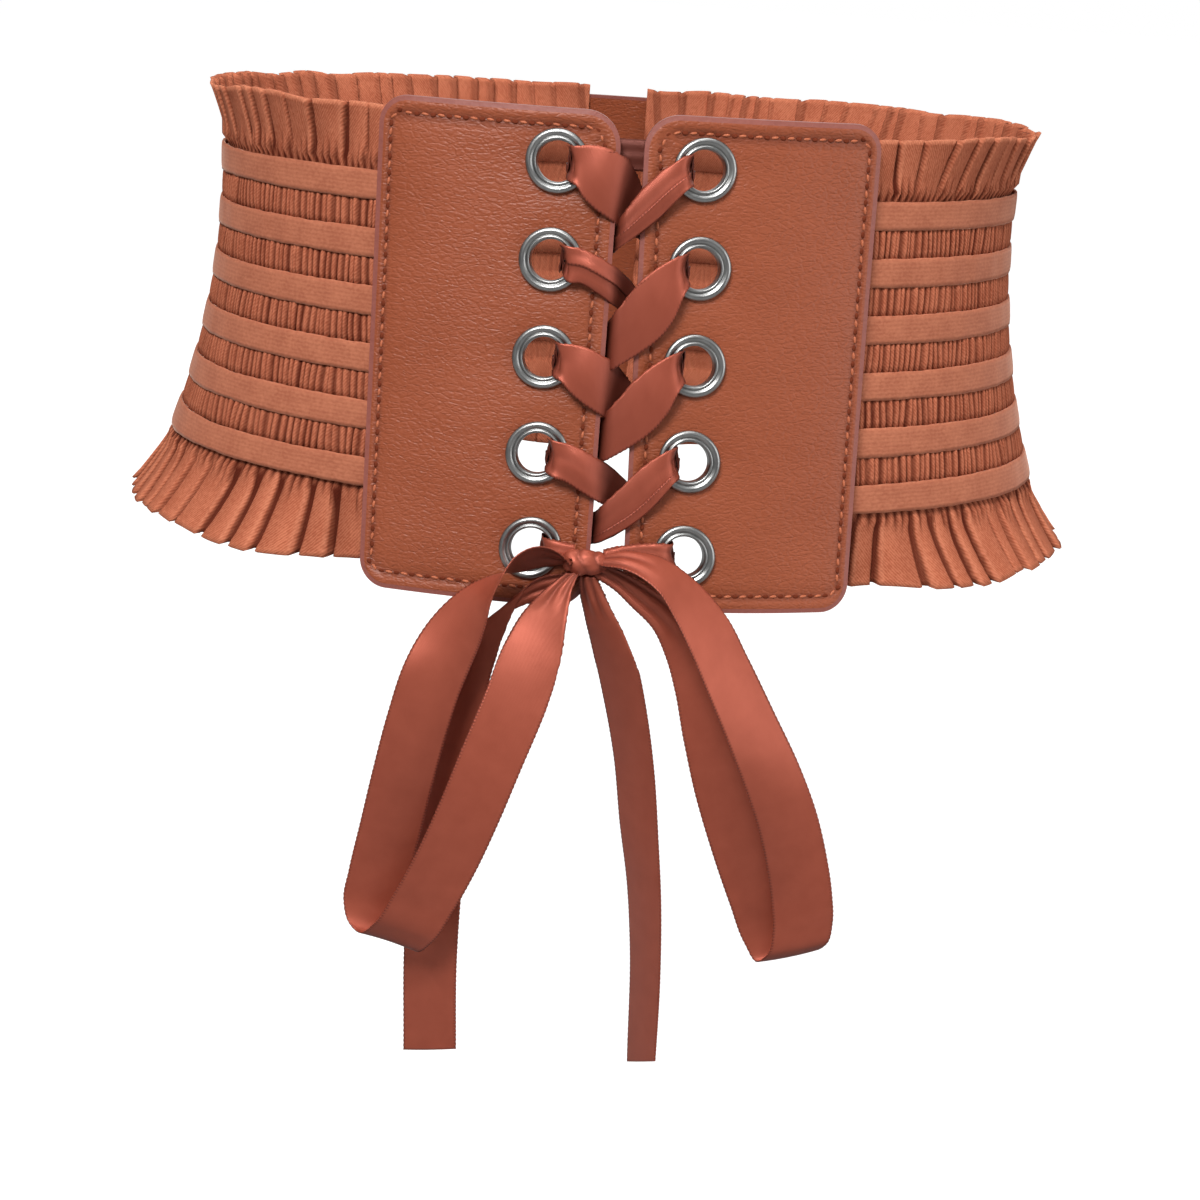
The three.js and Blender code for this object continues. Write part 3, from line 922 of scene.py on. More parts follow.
@dataclass
class LeatherPlate:
    """A leather piece with a rolled edge, cut flat, stitched and bent round the waist."""

    name: str
    outline: RoundedBox
    place: Callable[[np.ndarray, np.ndarray, np.ndarray], np.ndarray]
    finishes: Finishes
    mirrored: bool = False
    holes: Sequence[tuple[float, float]] = ()
    wall: float = PANEL_WALL
    cell: float = 3.0
    edge_round: float = 0.95
    edge_rings: tuple[float, ...] = (1.3, 0.9, 0.9)
    roll_height: float = 0.32
    roll_inset: float = 2.1
    roll_width: float = 1.1
    groove_depth: float = 0.42
    groove_width: float = 0.8
    stitch_insets: tuple[float, float, float] = (4.7, 3.4, 4.7)
    stitch_pitch: float = 4.6
    stitch_size: tuple[float, float, float] = (1.1, 0.46, 0.42)
    stitch_lift: float = 0.08
    stitch_slant: float = 7.0
    needle_hole_size: tuple[float, float, float] = (0.92, 0.72, 0.3)
    needle_hole_lift: float = 0.07
    hole_radius: float = 6.8
    dent_radius: float = 9.4
    dent_depth: float = 0.45
    dent_edge: float = 1.5
    dent_reach: float = 6.0
    dent_fade: float = 3.0
    broad_swell: tuple[float, float, float] = (0.28, 0.045, 0.05)
    fine_swell: tuple[float, float, float] = (0.1, 0.16, 0.2)
    rim_angle: float = 1.2
    rim_share: float = 0.16
    smooth_angle: float = 40.0

    @property
    def seam(self) -> RoundedBox:
        """The outline that the stitches follow."""
        near, far, ends = self.stitch_insets
        return self.outline.inset(near, far, ends)

    def groove(self, u: np.ndarray, v: np.ndarray) -> np.ndarray:
        """The stitched groove: 1 in its middle and 0 away from it."""
        return np.exp(-((self.seam.depth(u, v) / self.groove_width) ** 2))

    def relief(self, u: np.ndarray, v: np.ndarray) -> np.ndarray:
        """The rolled rim, the groove, the dents round the eyelets and the leather's own swells.

        Args:
            u: places across the flat piece.
            v: their heights.

        Returns:
            How far the face stands above its plain thickness there.
        """
        edge = self.outline.depth(u, v)
        roll = self.roll_height * np.exp(-(((edge - self.roll_inset) / self.roll_width) ** 2))
        height = roll - self.groove_depth * self.groove(u, v)
        for hole_u, hole_v in self.holes:
            rim = np.hypot(u - hole_u, v - hole_v) - self.dent_radius
            dent = self.dent_depth * np.exp(-((np.maximum(rim, 0) / self.dent_edge) ** 2))
            height = height - dent * smooth((self.dent_reach - rim) / self.dent_fade)
        for (swell, pace_u, pace_v), layer in ((self.broad_swell, len(self.name)), (self.fine_swell, 3.7)):
            bumps = [noise.noise(Vector((a * pace_u, b * pace_v, layer))) for a, b in zip(u, v)]
            height = height + swell * np.array(bumps)
        return height

    def cut_sheet(self) -> bpy.types.Object:
        """Cuts the flat sheet with its rounded corners and its edge rings.

        Returns:
            The sheet, in edit mode.
        """
        box = self.outline
        deselect()
        middle = (box.width / 2, (box.bottom + box.top) / 2, 0)
        bpy.ops.mesh.primitive_plane_add(size=1, location=middle)
        piece = bpy.context.object
        piece.name = f"{self.name}_leather"
        bpy.ops.object.mode_set(mode="EDIT")
        bpy.ops.transform.resize(value=(box.width, box.top - box.bottom, 1))
        for corner, nearer in ((box.near_corner, True), (box.far_corner, False)):
            self.select_corners(piece, nearer)
            bpy.ops.mesh.bevel(offset=corner, segments=10, affect="VERTICES")
        bpy.ops.mesh.select_all(action="SELECT")
        for ring in self.edge_rings:
            bpy.ops.mesh.inset(thickness=ring, depth=0)
        return piece

    def select_corners(self, piece: bpy.types.Object, nearer: bool) -> None:
        """Selects the two sharp corners on one side of the flat sheet.

        Args:
            piece: the sheet, in edit mode.
            nearer: whether they are on the near side.
        """
        half = np.array([self.outline.width, self.outline.top - self.outline.bottom]) / 2
        mesh = bmesh.from_edit_mesh(piece.data)
        for vertex in mesh.verts:
            sharp = np.allclose(np.abs(vertex.co.xy), half, rtol=0, atol=CLOSE)
            vertex.select = sharp and (vertex.co.x < 0) == nearer
        mesh.select_flush_mode()
        bmesh.update_edit_mesh(piece.data)

    def slice_sheet(self) -> None:
        """Cuts the sheet in edit mode along a grid, so that it can bend."""
        box = self.outline
        near, far, ends = self.stitch_insets
        stations = [*np.arange(self.cell, box.width, self.cell), near, box.width - far]
        levels = [*np.arange(box.bottom + self.cell, box.top, self.cell), box.bottom + ends, box.top - ends]
        for normal, values in (((1, 0, 0), stations), ((0, 1, 0), levels)):
            for value in values:
                bpy.ops.mesh.select_all(action="SELECT")
                point = [value * n for n in normal]
                bpy.ops.mesh.bisect(plane_co=point, plane_no=normal, threshold=0.01)

    def raise_wall(self, piece: bpy.types.Object) -> None:
        """Gives the sheet its thickness and rounds its rim.

        Args:
            piece: the sheet, in edit mode.
        """
        bpy.ops.mesh.select_all(action="SELECT")
        bpy.ops.mesh.extrude_region_move(TRANSFORM_OT_translate={"value": (0, 0, self.wall)})
        bpy.ops.mesh.select_all(action="SELECT")
        bpy.ops.mesh.normals_make_consistent(inside=False)
        mesh = bmesh.from_edit_mesh(piece.data)
        for face in mesh.faces:
            face.select = False
        for edge in mesh.edges:
            edge.select = edge.is_manifold and edge.calc_face_angle() > self.rim_angle
        bmesh.update_edit_mesh(piece.data)
        bpy.ops.mesh.bevel(offset=self.edge_round, segments=4, affect="EDGES")
        bpy.ops.object.mode_set(mode="OBJECT")

    def punch(self, piece: bpy.types.Object) -> None:
        """Cuts the eyelets' holes.

        Args:
            piece: the flat leather.
        """
        for u, v in self.holes:
            deselect()
            size = {"vertices": 40, "radius": self.hole_radius, "depth": 4 * self.wall}
            bpy.ops.mesh.primitive_cylinder_add(location=(u, v, self.wall / 2), **size)
            cutter = bpy.context.object
            activate(piece)
            cut = piece.modifiers.new("hole", "BOOLEAN")
            cut.operation = "DIFFERENCE"
            cut.object = cutter
            cut.solver = "EXACT"
            bpy.ops.object.modifier_apply(modifier=cut.name)
            bpy.data.objects.remove(cutter)

    def bend(self, piece: bpy.types.Object) -> None:
        """Moves the flat piece's points to their place round the waist.

        Args:
            piece: the flat leather, with its holes.
        """
        activate(piece)
        bpy.ops.object.transform_apply(location=True, rotation=True, scale=True)
        mesh = piece.data
        points = np.empty(len(mesh.vertices) * 3)
        mesh.vertices.foreach_get("co", points)
        u, v, w = points.reshape(-1, 3).T
        front = smooth(w / self.wall)
        bent = self.place(u, v, w + front * self.relief(u, v))
        # The groove's painted shade, kept for the leather's material to read
        keep_values(mesh, "groove", front * self.groove(u, v))
        keep_values(mesh, "rim", np.exp(-((np.maximum(self.outline.depth(u, v), 0) / 1.0) ** 2)))
        mesh.vertices.foreach_set("co", (bent * MM).ravel())
        mesh.update()
        close_up(self.smooth_angle)

    def paint_edge(self, piece: bpy.types.Object) -> None:
        """Gives the rim's side faces the painted edge's finish.

        Args:
            piece: the bent leather.
        """
        mesh = piece.data
        mesh.materials.append(self.finishes.leather)
        mesh.materials.append(self.finishes.edge)
        rim = np.empty(len(mesh.vertices))
        mesh.attributes["rim"].data.foreach_get("value", rim)
        for face in mesh.polygons:
            if min(rim[v] for v in face.vertices) > self.rim_share:
                face.material_index = 1

    def build(self, nodes: Sequence[str]) -> None:
        """Makes the piece with its stitches.

        Args:
            nodes: the solids that the leather stands for.
        """
        piece = self.cut_sheet()
        self.slice_sheet()
        self.raise_wall(piece)
        self.punch(piece)
        self.bend(piece)
        self.paint_edge(piece)
        ride(piece, nodes)
        self.stitch()

    def stitch(self) -> None:
        """Lays the saddle stitches, and dark beads between them that paint the shade in the needle holes."""
        rows = self.seam.walk(self.stitch_pitch)
        heading = rows[:, 2]
        half_step = self.stitch_pitch / 2 * np.stack([np.cos(heading), np.sin(heading)], axis=1)
        between = np.column_stack([rows[:, :2] + half_step, heading])
        slant = math.radians(self.stitch_slant)
        sets = (
            ("stitches", rows, self.stitch_size, self.stitch_lift, self.finishes.thread, slant),
            ("needle_holes", between, self.needle_hole_size, self.needle_hole_lift, self.finishes.hole, 0.0),
        )
        for word, places, size, lift, material, turn in sets:
            seats = [self.seat(row, lift, turn) for row in places]
            piece = repeated(f"{self.name}_{word}", self.bead(size), seats)
            piece.data.materials.append(material)
            ride(piece)

    def bead(self, size: tuple[float, float, float]) -> bpy.types.Object:
        """One stitch or needle hole.

        Args:
            size: half its length, width and height.

        Returns:
            A small rounded bar at the origin.
        """
        bead = lying_ball(8, 6)
        bpy.ops.object.mode_set(mode="EDIT")
        bpy.ops.transform.resize(value=tuple(s * MM for s in size))
        bpy.ops.object.mode_set(mode="OBJECT")
        return bead

    def seat(self, row: np.ndarray, lift: float, slant: float) -> Matrix:
        """Where one bead sits on the leather's face.

        Args:
            row: its u, its v and the seam's heading there.
            lift: the height of its middle above the face.
            slant: how far it is turned off the seam, in radians.

        Returns:
            Its place and turn, in metres.
        """
        step = 0.4
        u, v, heading = row
        heading += slant

        def spot(du: float, dv: float) -> Vector:
            """The place on the face near the bead's middle.

            Args:
                du: how far it is from the middle in u.
                dv: how far it is in v.

            Returns:
                The place, in metres.
            """
            flat_u, flat_v = np.array([u + du]), np.array([v + dv])
            height = self.wall + self.relief(flat_u, flat_v) + lift
            return Vector(self.place(flat_u, flat_v, height)[0] * MM)

        centre = spot(0, 0)
        along = (spot(step * math.cos(heading), step * math.sin(heading)) - centre).normalized()
        beside = (spot(-step * math.sin(heading), step * math.cos(heading)) - centre).normalized()
        out = along.cross(beside).normalized()
        if self.mirrored:
            out.negate()
        beside = out.cross(along)
        turn = Matrix((along, beside, out)).transposed().to_4x4()
        return Matrix.Translation(centre) @ turn


@dataclass
class FrontPanels:
    """The two leather front panels with their eyelets."""

    finishes: Finishes
    top: float = 70.3
    bottom: float = -69.3
    outer_edge: float = PANEL_EDGE
    near_corner: float = 10.0
    far_corner: float = 8.0
    gap_half_width: float = 4.2
    gap_lean: float = -0.0141
    rows: int = 5
    eyelet_middle: float = 1.4
    eyelet_pitch: float = 27.2
    eyelet_from_centre: float = 21.6

    def gap_edge(self, z: np.ndarray) -> np.ndarray:
        """The panel's inner edge at a height, from the middle line."""
        return self.gap_half_width + self.gap_lean * z

    def eyelet_place(self, row: int) -> tuple[float, float]:
        """An eyelet's distance from the middle line, and its height."""
        z = self.eyelet_middle + self.eyelet_pitch * ((self.rows - 1) / 2 - row)
        return self.eyelet_from_centre + self.gap_lean * z, z

    def build(self, side: Side) -> None:
        """Makes one side's panel, stitches and eyelets.

        Args:
            side: the side.
        """
        width = self.outer_edge - self.gap_half_width
        outline = RoundedBox(width, self.bottom, self.top, self.near_corner, self.far_corner)

        def place(u: np.ndarray, v: np.ndarray, w: np.ndarray) -> np.ndarray:
            """Where points of the flat panel go.

            Args:
                u: their distance from the inner edge.
                v: their height.
                w: their distance outwards from the panel's inner face.

            Returns:
                Their places round the waist.
            """
            near = self.gap_edge(v)
            x = near + (self.outer_edge - near) * u / width
            bent = WAIST.front(x, v, PANEL_INSIDE + w)
            bent[:, 0] *= side.value
            return bent

        holes = []
        for x, z in map(self.eyelet_place, range(self.rows)):
            near = self.gap_edge(z)
            holes.append(((x - near) / (self.outer_edge - near) * width, z))
        name = f"{side.word}_panel"
        LeatherPlate(name, outline, place, self.finishes, side is Side.LEFT, holes).build([name])
        for row in range(self.rows):
            Eyelet(f"eyelet_{side.word}_{row + 1}", side, *self.eyelet_place(row)).build(self.finishes)


@dataclass
class Eyelet:
    """A turned eyelet: a rolled flange, an inner lip, a barrel and a washer."""

    name: str
    side: Side
    x: float
    z: float
    steps: int = 56
    smooth_angle: float = 50.0
    profile: tuple[tuple[float, float], ...] = (
        (8.95, 0.02), (9.06, 0.3), (8.98, 0.68), (8.7, 1.0), (8.3, 1.2), (7.9, 1.24), (7.5, 1.12),
        (7.2, 0.84), (6.98, 0.72), (6.8, 0.86), (6.6, 1.08), (6.35, 1.14), (6.1, 1.02), (5.92, 0.7),
        (5.8, 0.2), (5.76, -0.8), (5.76, -3.0), (5.9, -3.5), (6.4, -3.66), (8.1, -3.6), (8.4, -3.35),
        (8.2, -3.08), (6.7, -3.02), (6.6, -2.4), (6.6, -0.2), (7.2, 0.0),
    )

    def build(self, finishes: Finishes) -> None:
        """Turns the eyelet and sets it in the panel.

        Args:
            finishes: the belt's materials.
        """
        deselect()
        bpy.ops.mesh.primitive_circle_add(vertices=len(self.profile), radius=1)
        piece = bpy.context.object
        piece.name = f"{self.name}_metal"
        for vertex, (radius, height) in zip(piece.data.vertices, self.profile):
            vertex.co = (radius * MM, 0, height * MM)
        bpy.ops.object.mode_set(mode="EDIT")
        bpy.ops.mesh.select_all(action="SELECT")
        bpy.ops.mesh.spin(steps=self.steps, angle=math.tau, center=(0, 0, 0), axis=(0, 0, 1))
        bpy.ops.mesh.select_all(action="SELECT")
        bpy.ops.mesh.remove_doubles(threshold=0.000005)
        bpy.ops.object.mode_set(mode="OBJECT")
        offset = PANEL_INSIDE + PANEL_WALL
        seat = Vector(WAIST.front(self.x, self.z, offset) * MM)
        level, up, out = (Vector(d) for d in WAIST.directions(self.x, self.z, offset))
        place = Matrix.Translation(seat) @ Matrix((level, up, out)).transposed().to_4x4()
        if self.side is Side.LEFT:
            place = Matrix.Scale(-1, 4, (1, 0, 0)) @ place
        piece.data.transform(place)
        close_up(self.smooth_angle)
        piece.data.materials.append(finishes.metal)
        ride(piece, [self.name])


@dataclass
class BackTab:
    """The plain leather tab where the two sides meet at the back."""

    finishes: Finishes
    half_width: float = TAB_EDGE
    top: float = 64.0
    bottom: float = -61.0
    corner: float = 6.0

    def build(self) -> None:
        """Makes the tab and its stitches."""
        outline = RoundedBox(2 * self.half_width, self.bottom, self.top, self.corner, self.corner)

        def place(u: np.ndarray, v: np.ndarray, w: np.ndarray) -> np.ndarray:
            """Where a point of the flat tab goes, at a height w above its inner face."""
            return WAIST.back(self.half_width - u, v, PANEL_INSIDE + w)

        sizes = {"edge_rings": (1.1, 0.7, 0.7), "stitch_insets": (3.6, 3.6, 3.6)}
        LeatherPlate("back_tab", outline, place, self.finishes, **sizes).build(["back_tab"])


# Cloth


@dataclass(frozen=True)
class Ruffle:
    """The sizes of one ruffled edge."""

    root: float
    hem: float
    flare: float
    fold_depth: float
    fold_widths: tuple[float, float]
    lean: float
    levels: int
    worn: float


@dataclass(frozen=True)
class FoldShape:
    """A ruffle's broad folds; groove and shade hold their values beside the faintest and the deepest fold."""

    heights: tuple[float, float] = (0.6, 1.1)
    faint_share: float = 0.3
    faint: float = 0.25
    deep: tuple[float, float] = (0.7, 1.0)
    floor: float = 0.1
    floor_growth: float = 0.6
    slope: float = 0.75
    groove: tuple[float, float] = (0.45, 1.0)
    fall: float = 0.3
    lap_middle: float = 0.2
    lap_width: float = 0.2
    shade: tuple[float, float] = (0.15, 1.1)
    shade_reach: float = 0.65
    shade_fade: float = 0.5
    far_shade: float = 0.18
    far_start: float = 0.35
    # Painted highlight: how far the lip beside each groove is lightened
    lip: float = 0.6
    lip_from_floor: float = 1.0
    lip_width: float = 0.45


@dataclass(frozen=True)
class TuckShape:
    """The fine tucks at a ruffle's root."""

    widths: tuple[float, float] = (1.9, 3.4)
    reach: tuple[float, float] = (0.12, 0.5)
    roundness: float = 1.1
    height: float = 1.5
    start: float = 0.06
    shade: float = 1.3


@dataclass(frozen=True)
class HangShape:
    """How a ruffle hangs from its root to its hem, and how it is held at the panel and the tab."""

    level_curve: float = 0.85
    lean_pace: float = 16.0
    pinned_reach: float = 26.0
    pinned_folds: float = 0.75
    loose_start: float = -5.0
    loose_reach: float = 4.0
    root_folds: float = 0.3
    fold_start: float = 0.15
    fold_middle: float = 0.45
    most_inward: float = 1.3
    flare_curve: float = 1.3
    lift: float = 0.3
    lap: float = 0.2
    room_at_plates: float = 2.95
    room_away: float = 14.0
    room_reach: float = 9.0
    hem_pace: float = 14.0
    hem_wander: float = 1.1
    hem_rise: float = 0.2
    hem_notch: float = 0.6
    shade_start: float = 0.12
    hem_shade: float = 0.85
    lip_below: float = 0.15
    worn_from: float = 0.94
    worn_below: float = 0.4


@dataclass(frozen=True)
class GatherShape:
    """The fine gathers between the strips, which are tightest beside the panel."""

    widths: tuple[float, float] = (1.5, 2.9)
    slants: tuple[float, float] = (0.7, 2.6)
    slant_range: tuple[float, float] = (40.0, 90.0)
    slant_pace: float = 7.0
    heights: tuple[float, float] = (0.45, 1.0)
    most_tilt: float = 0.45
    shades: tuple[float, float] = (0.45, 1.1)
    roundness: float = 0.9
    valley: float = 1.7
    height: float = 1.2
    base: float = 0.7
    loose_base: float = 0.6
    loosest: float = 0.35
    loose_range: tuple[float, float] = (45.0, 100.0)
    end_swell: float = 0.85
    swell_curve: float = 0.6
    shade: float = 0.9


@dataclass(frozen=True)
class StripShape:
    """An elastic strip's section and its unevenness; each pair is a height and the distance between turns."""

    levels: int = 9
    scallop: tuple[float, float] = (0.12, 2.1)
    waver: tuple[float, float] = (0.15, 14.0)
    ripple: tuple[float, float] = (0.1, 5.0)
    crown: float = 0.22
    sink: float = 0.15
    wall_share: float = 0.85


FOLDS, TUCKS, HANG, GATHERS, STRIP = FoldShape(), TuckShape(), HangShape(), GatherShape(), StripShape()


@dataclass
class GatheredSide:
    """One side's cloth: gathered rows between elastic strips, and a ruffle above and below."""

    side: Side
    seed: int
    finishes: Finishes
    strip_count: int = 6
    strip_middle: float = 3.2
    strip_pitch: float = 16.4
    strip_height: float = 8.2
    columns: int = 770
    cloth_wall: float = 0.6
    hem_wall: float = 0.3
    hem_height: float = 2.6
    hem_step: float = 0.8
    flat_middle: float = 0.75
    flat_shade: float = 0.3
    stretch: float = 1.5
    row_levels: int = 5
    top: Ruffle = Ruffle(48.6, 67.2, 4.4, 2.2, (4.5, 12.0), 3.4, 12, 0.85)
    bottom: Ruffle = Ruffle(-42.2, -64.6, 12.5, 2.3, (5.0, 12.5), 2.4, 13, 0.2)
    # The share of the painted shade that the cloth's inner skin gets
    inner_share: float = 0.25

    def __post_init__(self) -> None:
        """Starts the side's random numbers and measures its length."""
        self.rng = np.random.default_rng(self.seed)
        self.share = np.linspace(0, 1, self.columns)
        level = np.zeros(self.columns)
        steps = np.linalg.norm(np.diff(WAIST.point(self.angle(self.share, level), level, 0), axis=0), axis=1)
        self.along = np.concatenate([[0], np.cumsum(steps)])
        self.length = self.along[-1]
        self.to_end = np.minimum(self.along, self.length - self.along) - TUCK

    def angle(self, share: np.ndarray, z: np.ndarray) -> np.ndarray:
        """Angles round the waist on this side, from behind the panel to behind the tab.

        Args:
            share: the shares of the way.
            z: the heights.

        Returns:
            The angles.
        """
        start = WAIST.front_angle(PANEL_EDGE - TUCK, z, 0)
        end = np.pi - WAIST.front_angle(TAB_EDGE - TUCK, z, 0)
        return start + (end - start) * share

    def strip_level(self, index: int) -> float:
        """The height of a strip's middle line."""
        return self.strip_middle + self.strip_pitch * ((self.strip_count - 1) / 2 - index)

    def uneven_steps(self, widths: tuple[float, float]) -> np.ndarray:
        """Where folds of uneven width begin.

        Args:
            widths: the narrowest and the widest fold.

        Returns:
            Distances round the belt, from before the side's start to past its end.
        """
        low, high = widths
        margin = 20
        count = int((self.length + 2 * margin) / low)
        edges = np.cumsum(low + (high - low) * self.rng.beta(1.6, 2.2, count)) - margin
        return edges[edges < self.length + margin]

    def fold_phase(self, edges: np.ndarray, at: np.ndarray) -> tuple[np.ndarray, np.ndarray]:
        """The fold that each place is in, and the share of the way across it."""
        place = np.interp(at, edges, np.arange(len(edges)))
        return place.astype(int), place % 1.0

    def each(self, low: float, high: float, edges: np.ndarray) -> np.ndarray:
        """A random number for each fold."""
        return self.rng.uniform(low, high, len(edges) + 1)

    def beyond(self, near: float, far: float) -> np.ndarray:
        """0 within one distance of where the cloth starts, and 1 beyond another."""
        return smooth((self.along - near) / (far - near))

    def gathers(self, rise: np.ndarray) -> tuple[np.ndarray, np.ndarray, np.ndarray]:
        """Fine gathers: ridges with narrow valleys.

        Args:
            rise: the share of the way up the row, for each of its levels.

        Returns:
            The ridge height from 0 to 1, the sideways shift and the painted shade of the valleys.
        """
        edges = self.uneven_steps(GATHERS.widths)
        slant = mix(*GATHERS.slants, self.beyond(*GATHERS.slant_range))
        slant = slant * wander(self.rng, self.along, GATHERS.slant_pace)
        at = self.along[:, None] + slant[:, None] * (rise[None, :] - 0.5)
        fold, share = self.fold_phase(edges, at)
        height = self.each(*GATHERS.heights, edges)[fold]
        tilt = self.each(-GATHERS.most_tilt, GATHERS.most_tilt, edges)[fold]
        shade = self.each(*GATHERS.shades, edges)[fold]
        arch = np.sin(np.pi * share)
        ridge = arch**GATHERS.roundness
        # The valleys' depth is painted as shade by the cloth
        return ridge * height, tilt * ridge, shade * smooth(GATHERS.valley * (1 - arch))

    def row_grid(self, index: int) -> dict[str, np.ndarray]:
        """The gathered row below a strip.

        Args:
            index: the strip's number from the top.

        Returns:
            Heights, offsets, sideways shifts and depths, grids by name.
        """
        high = self.strip_level(index) - self.strip_height / 2
        low = self.strip_level(index + 1) + self.strip_height / 2
        rise = np.linspace(0.0, 1.0, self.row_levels)
        ridge, shift, valley = self.gathers(rise)
        swell = mix(GATHERS.end_swell, 1.0, np.sin(np.pi * rise) ** GATHERS.swell_curve)
        tight = mix(1.0, GATHERS.loosest, self.beyond(*GATHERS.loose_range))[:, None]
        lift = GATHERS.base + GATHERS.loose_base * (1 - tight) + GATHERS.height * tight * ridge
        offset = self.flat_middle + swell * lift
        z = np.broadcast_to(mix(low, high, rise), offset.shape)
        return {"z": z, "offset": offset, "shift": shift * swell, "depth": GATHERS.shade * valley * tight}

    def strip_grid(self, index: int) -> dict[str, np.ndarray]:
        """The flat cloth behind a strip.

        Args:
            index: the strip's number from the top.

        Returns:
            Heights, offsets, sideways shifts and depths, grids by name.
        """
        half = self.strip_height / 2 - 0.5
        z = np.broadcast_to(self.strip_level(index) + np.array([-half, half]), (self.columns, 2))
        flat = np.zeros(z.shape)
        # The cloth behind the strips gets an even painted shade
        return {"z": z, "offset": flat + self.flat_middle, "shift": flat, "depth": flat + self.flat_shade}

    def folds(self, widths: tuple[float, float], at: np.ndarray) -> dict[str, np.ndarray]:
        """A ruffle's broad folds, some of them faint.

        Args:
            widths: the narrowest and the widest fold.
            at: the distance round the belt of each place.

        Returns:
            The folds' height, the groove between them, how far they lap over each other, their
            painted shade and the painted highlight on the lip beside each groove, grids by name.
        """
        edges = self.uneven_steps(widths)
        fold, share = self.fold_phase(edges, at)
        tall = self.each(*FOLDS.heights, edges)[fold]
        faint = self.rng.random(len(edges) + 1) < FOLDS.faint_share
        deep = np.where(faint, FOLDS.faint, self.each(*FOLDS.deep, edges))
        width = np.diff(edges, prepend=edges[0] - 8, append=edges[-1] + 8)[np.minimum(fold + 1, len(edges))]
        before, after = share * width, (1 - share) * width
        gap = np.minimum(before, after)
        gap_deep = np.where(before < after, deep[fold], deep[fold + 1])
        floor = FOLDS.floor + FOLDS.floor_growth * gap_deep
        groove = mix(*FOLDS.groove, gap_deep) * smooth((floor + FOLDS.slope - gap) / FOLDS.slope)
        shade = mix(*FOLDS.shade, gap_deep) * smooth((floor + FOLDS.shade_reach - gap) / FOLDS.shade_fade)
        far = smooth((share - FOLDS.far_start) / (1 - FOLDS.far_start))
        past_lip = before - floor - FOLDS.lip_from_floor
        return {
            "wave": tall * (1 - FOLDS.fall * share) * (1 - groove),
            "groove": groove,
            "overlap": np.exp(-(((share - FOLDS.lap_middle) / FOLDS.lap_width) ** 2)) * tall,
            "shade": shade + FOLDS.far_shade * far * deep[fold + 1],
            "lip": FOLDS.lip * gap_deep * np.exp(-((past_lip / FOLDS.lip_width) ** 2)),
        }

    def tucks(self, at: np.ndarray, down: np.ndarray) -> tuple[np.ndarray, np.ndarray]:
        """The fine tucks at a ruffle's root.

        Args:
            at: the distance round the belt of each place.
            down: the share of the way from the root to the hem, for each level.

        Returns:
            Their height and their painted shade, which fade out towards the hem.
        """
        edges = self.uneven_steps(TUCKS.widths)
        fold, share = self.fold_phase(edges, at)
        tuck = np.sin(np.pi * share) ** TUCKS.roundness
        fade = 1 - smooth(down / self.each(*TUCKS.reach, edges)[fold])
        height = TUCKS.height * tuck * fade * np.minimum(down / TUCKS.start, 1)
        return height, TUCKS.shade * (1 - tuck) * fade

    def ruffle_grid(self, ruffle: Ruffle) -> dict[str, np.ndarray]:
        """A ruffle, from its root to its hem.

        Args:
            ruffle: its sizes.

        Returns:
            Heights, offsets, sideways shifts and depths, grids by name.
        """
        down = np.linspace(0.0, 1.0, ruffle.levels)[None, :] ** HANG.level_curve
        lean = ruffle.lean * wander(self.rng, self.along, HANG.lean_pace)
        at = self.along[:, None] + lean[:, None] * down
        folds = self.folds(ruffle.fold_widths, at)
        tuck, tuck_shade = self.tucks(at, down)
        pinned = smooth(self.to_end / HANG.pinned_reach)[:, None]
        loose = smooth((self.to_end - HANG.loose_start) / HANG.loose_reach)[:, None]
        reach = mix(HANG.root_folds, 1, down) * np.minimum(down / HANG.fold_start, 1)
        swell = 2 * ruffle.fold_depth * reach * (folds["wave"] - HANG.fold_middle)
        swell = np.maximum(swell * mix(HANG.pinned_folds, 1, pinned), -HANG.most_inward * down)
        flare = ruffle.flare * down**HANG.flare_curve * pinned
        offset = self.flat_middle + flare + loose * (swell + tuck) + HANG.lift * down
        room = HANG.room_at_plates + HANG.room_away * smooth(self.to_end / HANG.room_reach)[:, None]
        outward = np.sign(ruffle.hem)
        uneven = HANG.hem_wander * wander(self.rng, self.along, HANG.hem_pace) - HANG.hem_rise
        hem = ruffle.hem + outward * uneven[:, None]
        hem = hem - outward * HANG.hem_notch * folds["groove"][:, -1:] * loose
        # Painted shade in grooves and tucks; below 0, a painted highlight on each lip and a paler hem
        fade = smooth(down / HANG.shade_start) * mix(1.0, HANG.hem_shade, down)
        depth = np.clip(np.maximum(np.clip(folds["shade"], 0, 1) * fade, tuck_shade), 0, 1)
        depth = np.where(depth < HANG.lip_below, depth - folds["lip"], depth)
        worn = (down > HANG.worn_from) & (depth < HANG.worn_below)
        return {
            "z": ruffle.root + (hem - ruffle.root) * down,
            "offset": np.minimum(offset, room),
            "shift": -HANG.lap * loose * ruffle.fold_depth * down * folds["overlap"],
            "depth": np.where(worn, -ruffle.worn, depth),
        }

    def wrap(
        self,
        name: str,
        middle: np.ndarray,
        wall: np.ndarray | float,
        uv: tuple[np.ndarray, np.ndarray],
        depth: np.ndarray | None = None,
    ) -> bpy.types.Object:
        """Makes a wall of cloth round this side.

        Args:
            name: the piece's name.
            middle: its middle on the side of +X, a grid of places.
            wall: its thickness.
            uv: the cloth's own coordinates at each place.
            depth: how deep each place lies, which the material paints as shade.

        Returns:
            The piece.
        """
        middle[..., 0] *= self.side.value
        mirrored = self.side is Side.LEFT
        inner, outer = thicken(middle, wall)
        skins = (outer, inner) if mirrored else (inner, outer)
        values = None if depth is None else {"depth": (self.inner_share * depth, depth)}
        return wall_mesh(name, skins, uv, values, mirrored)

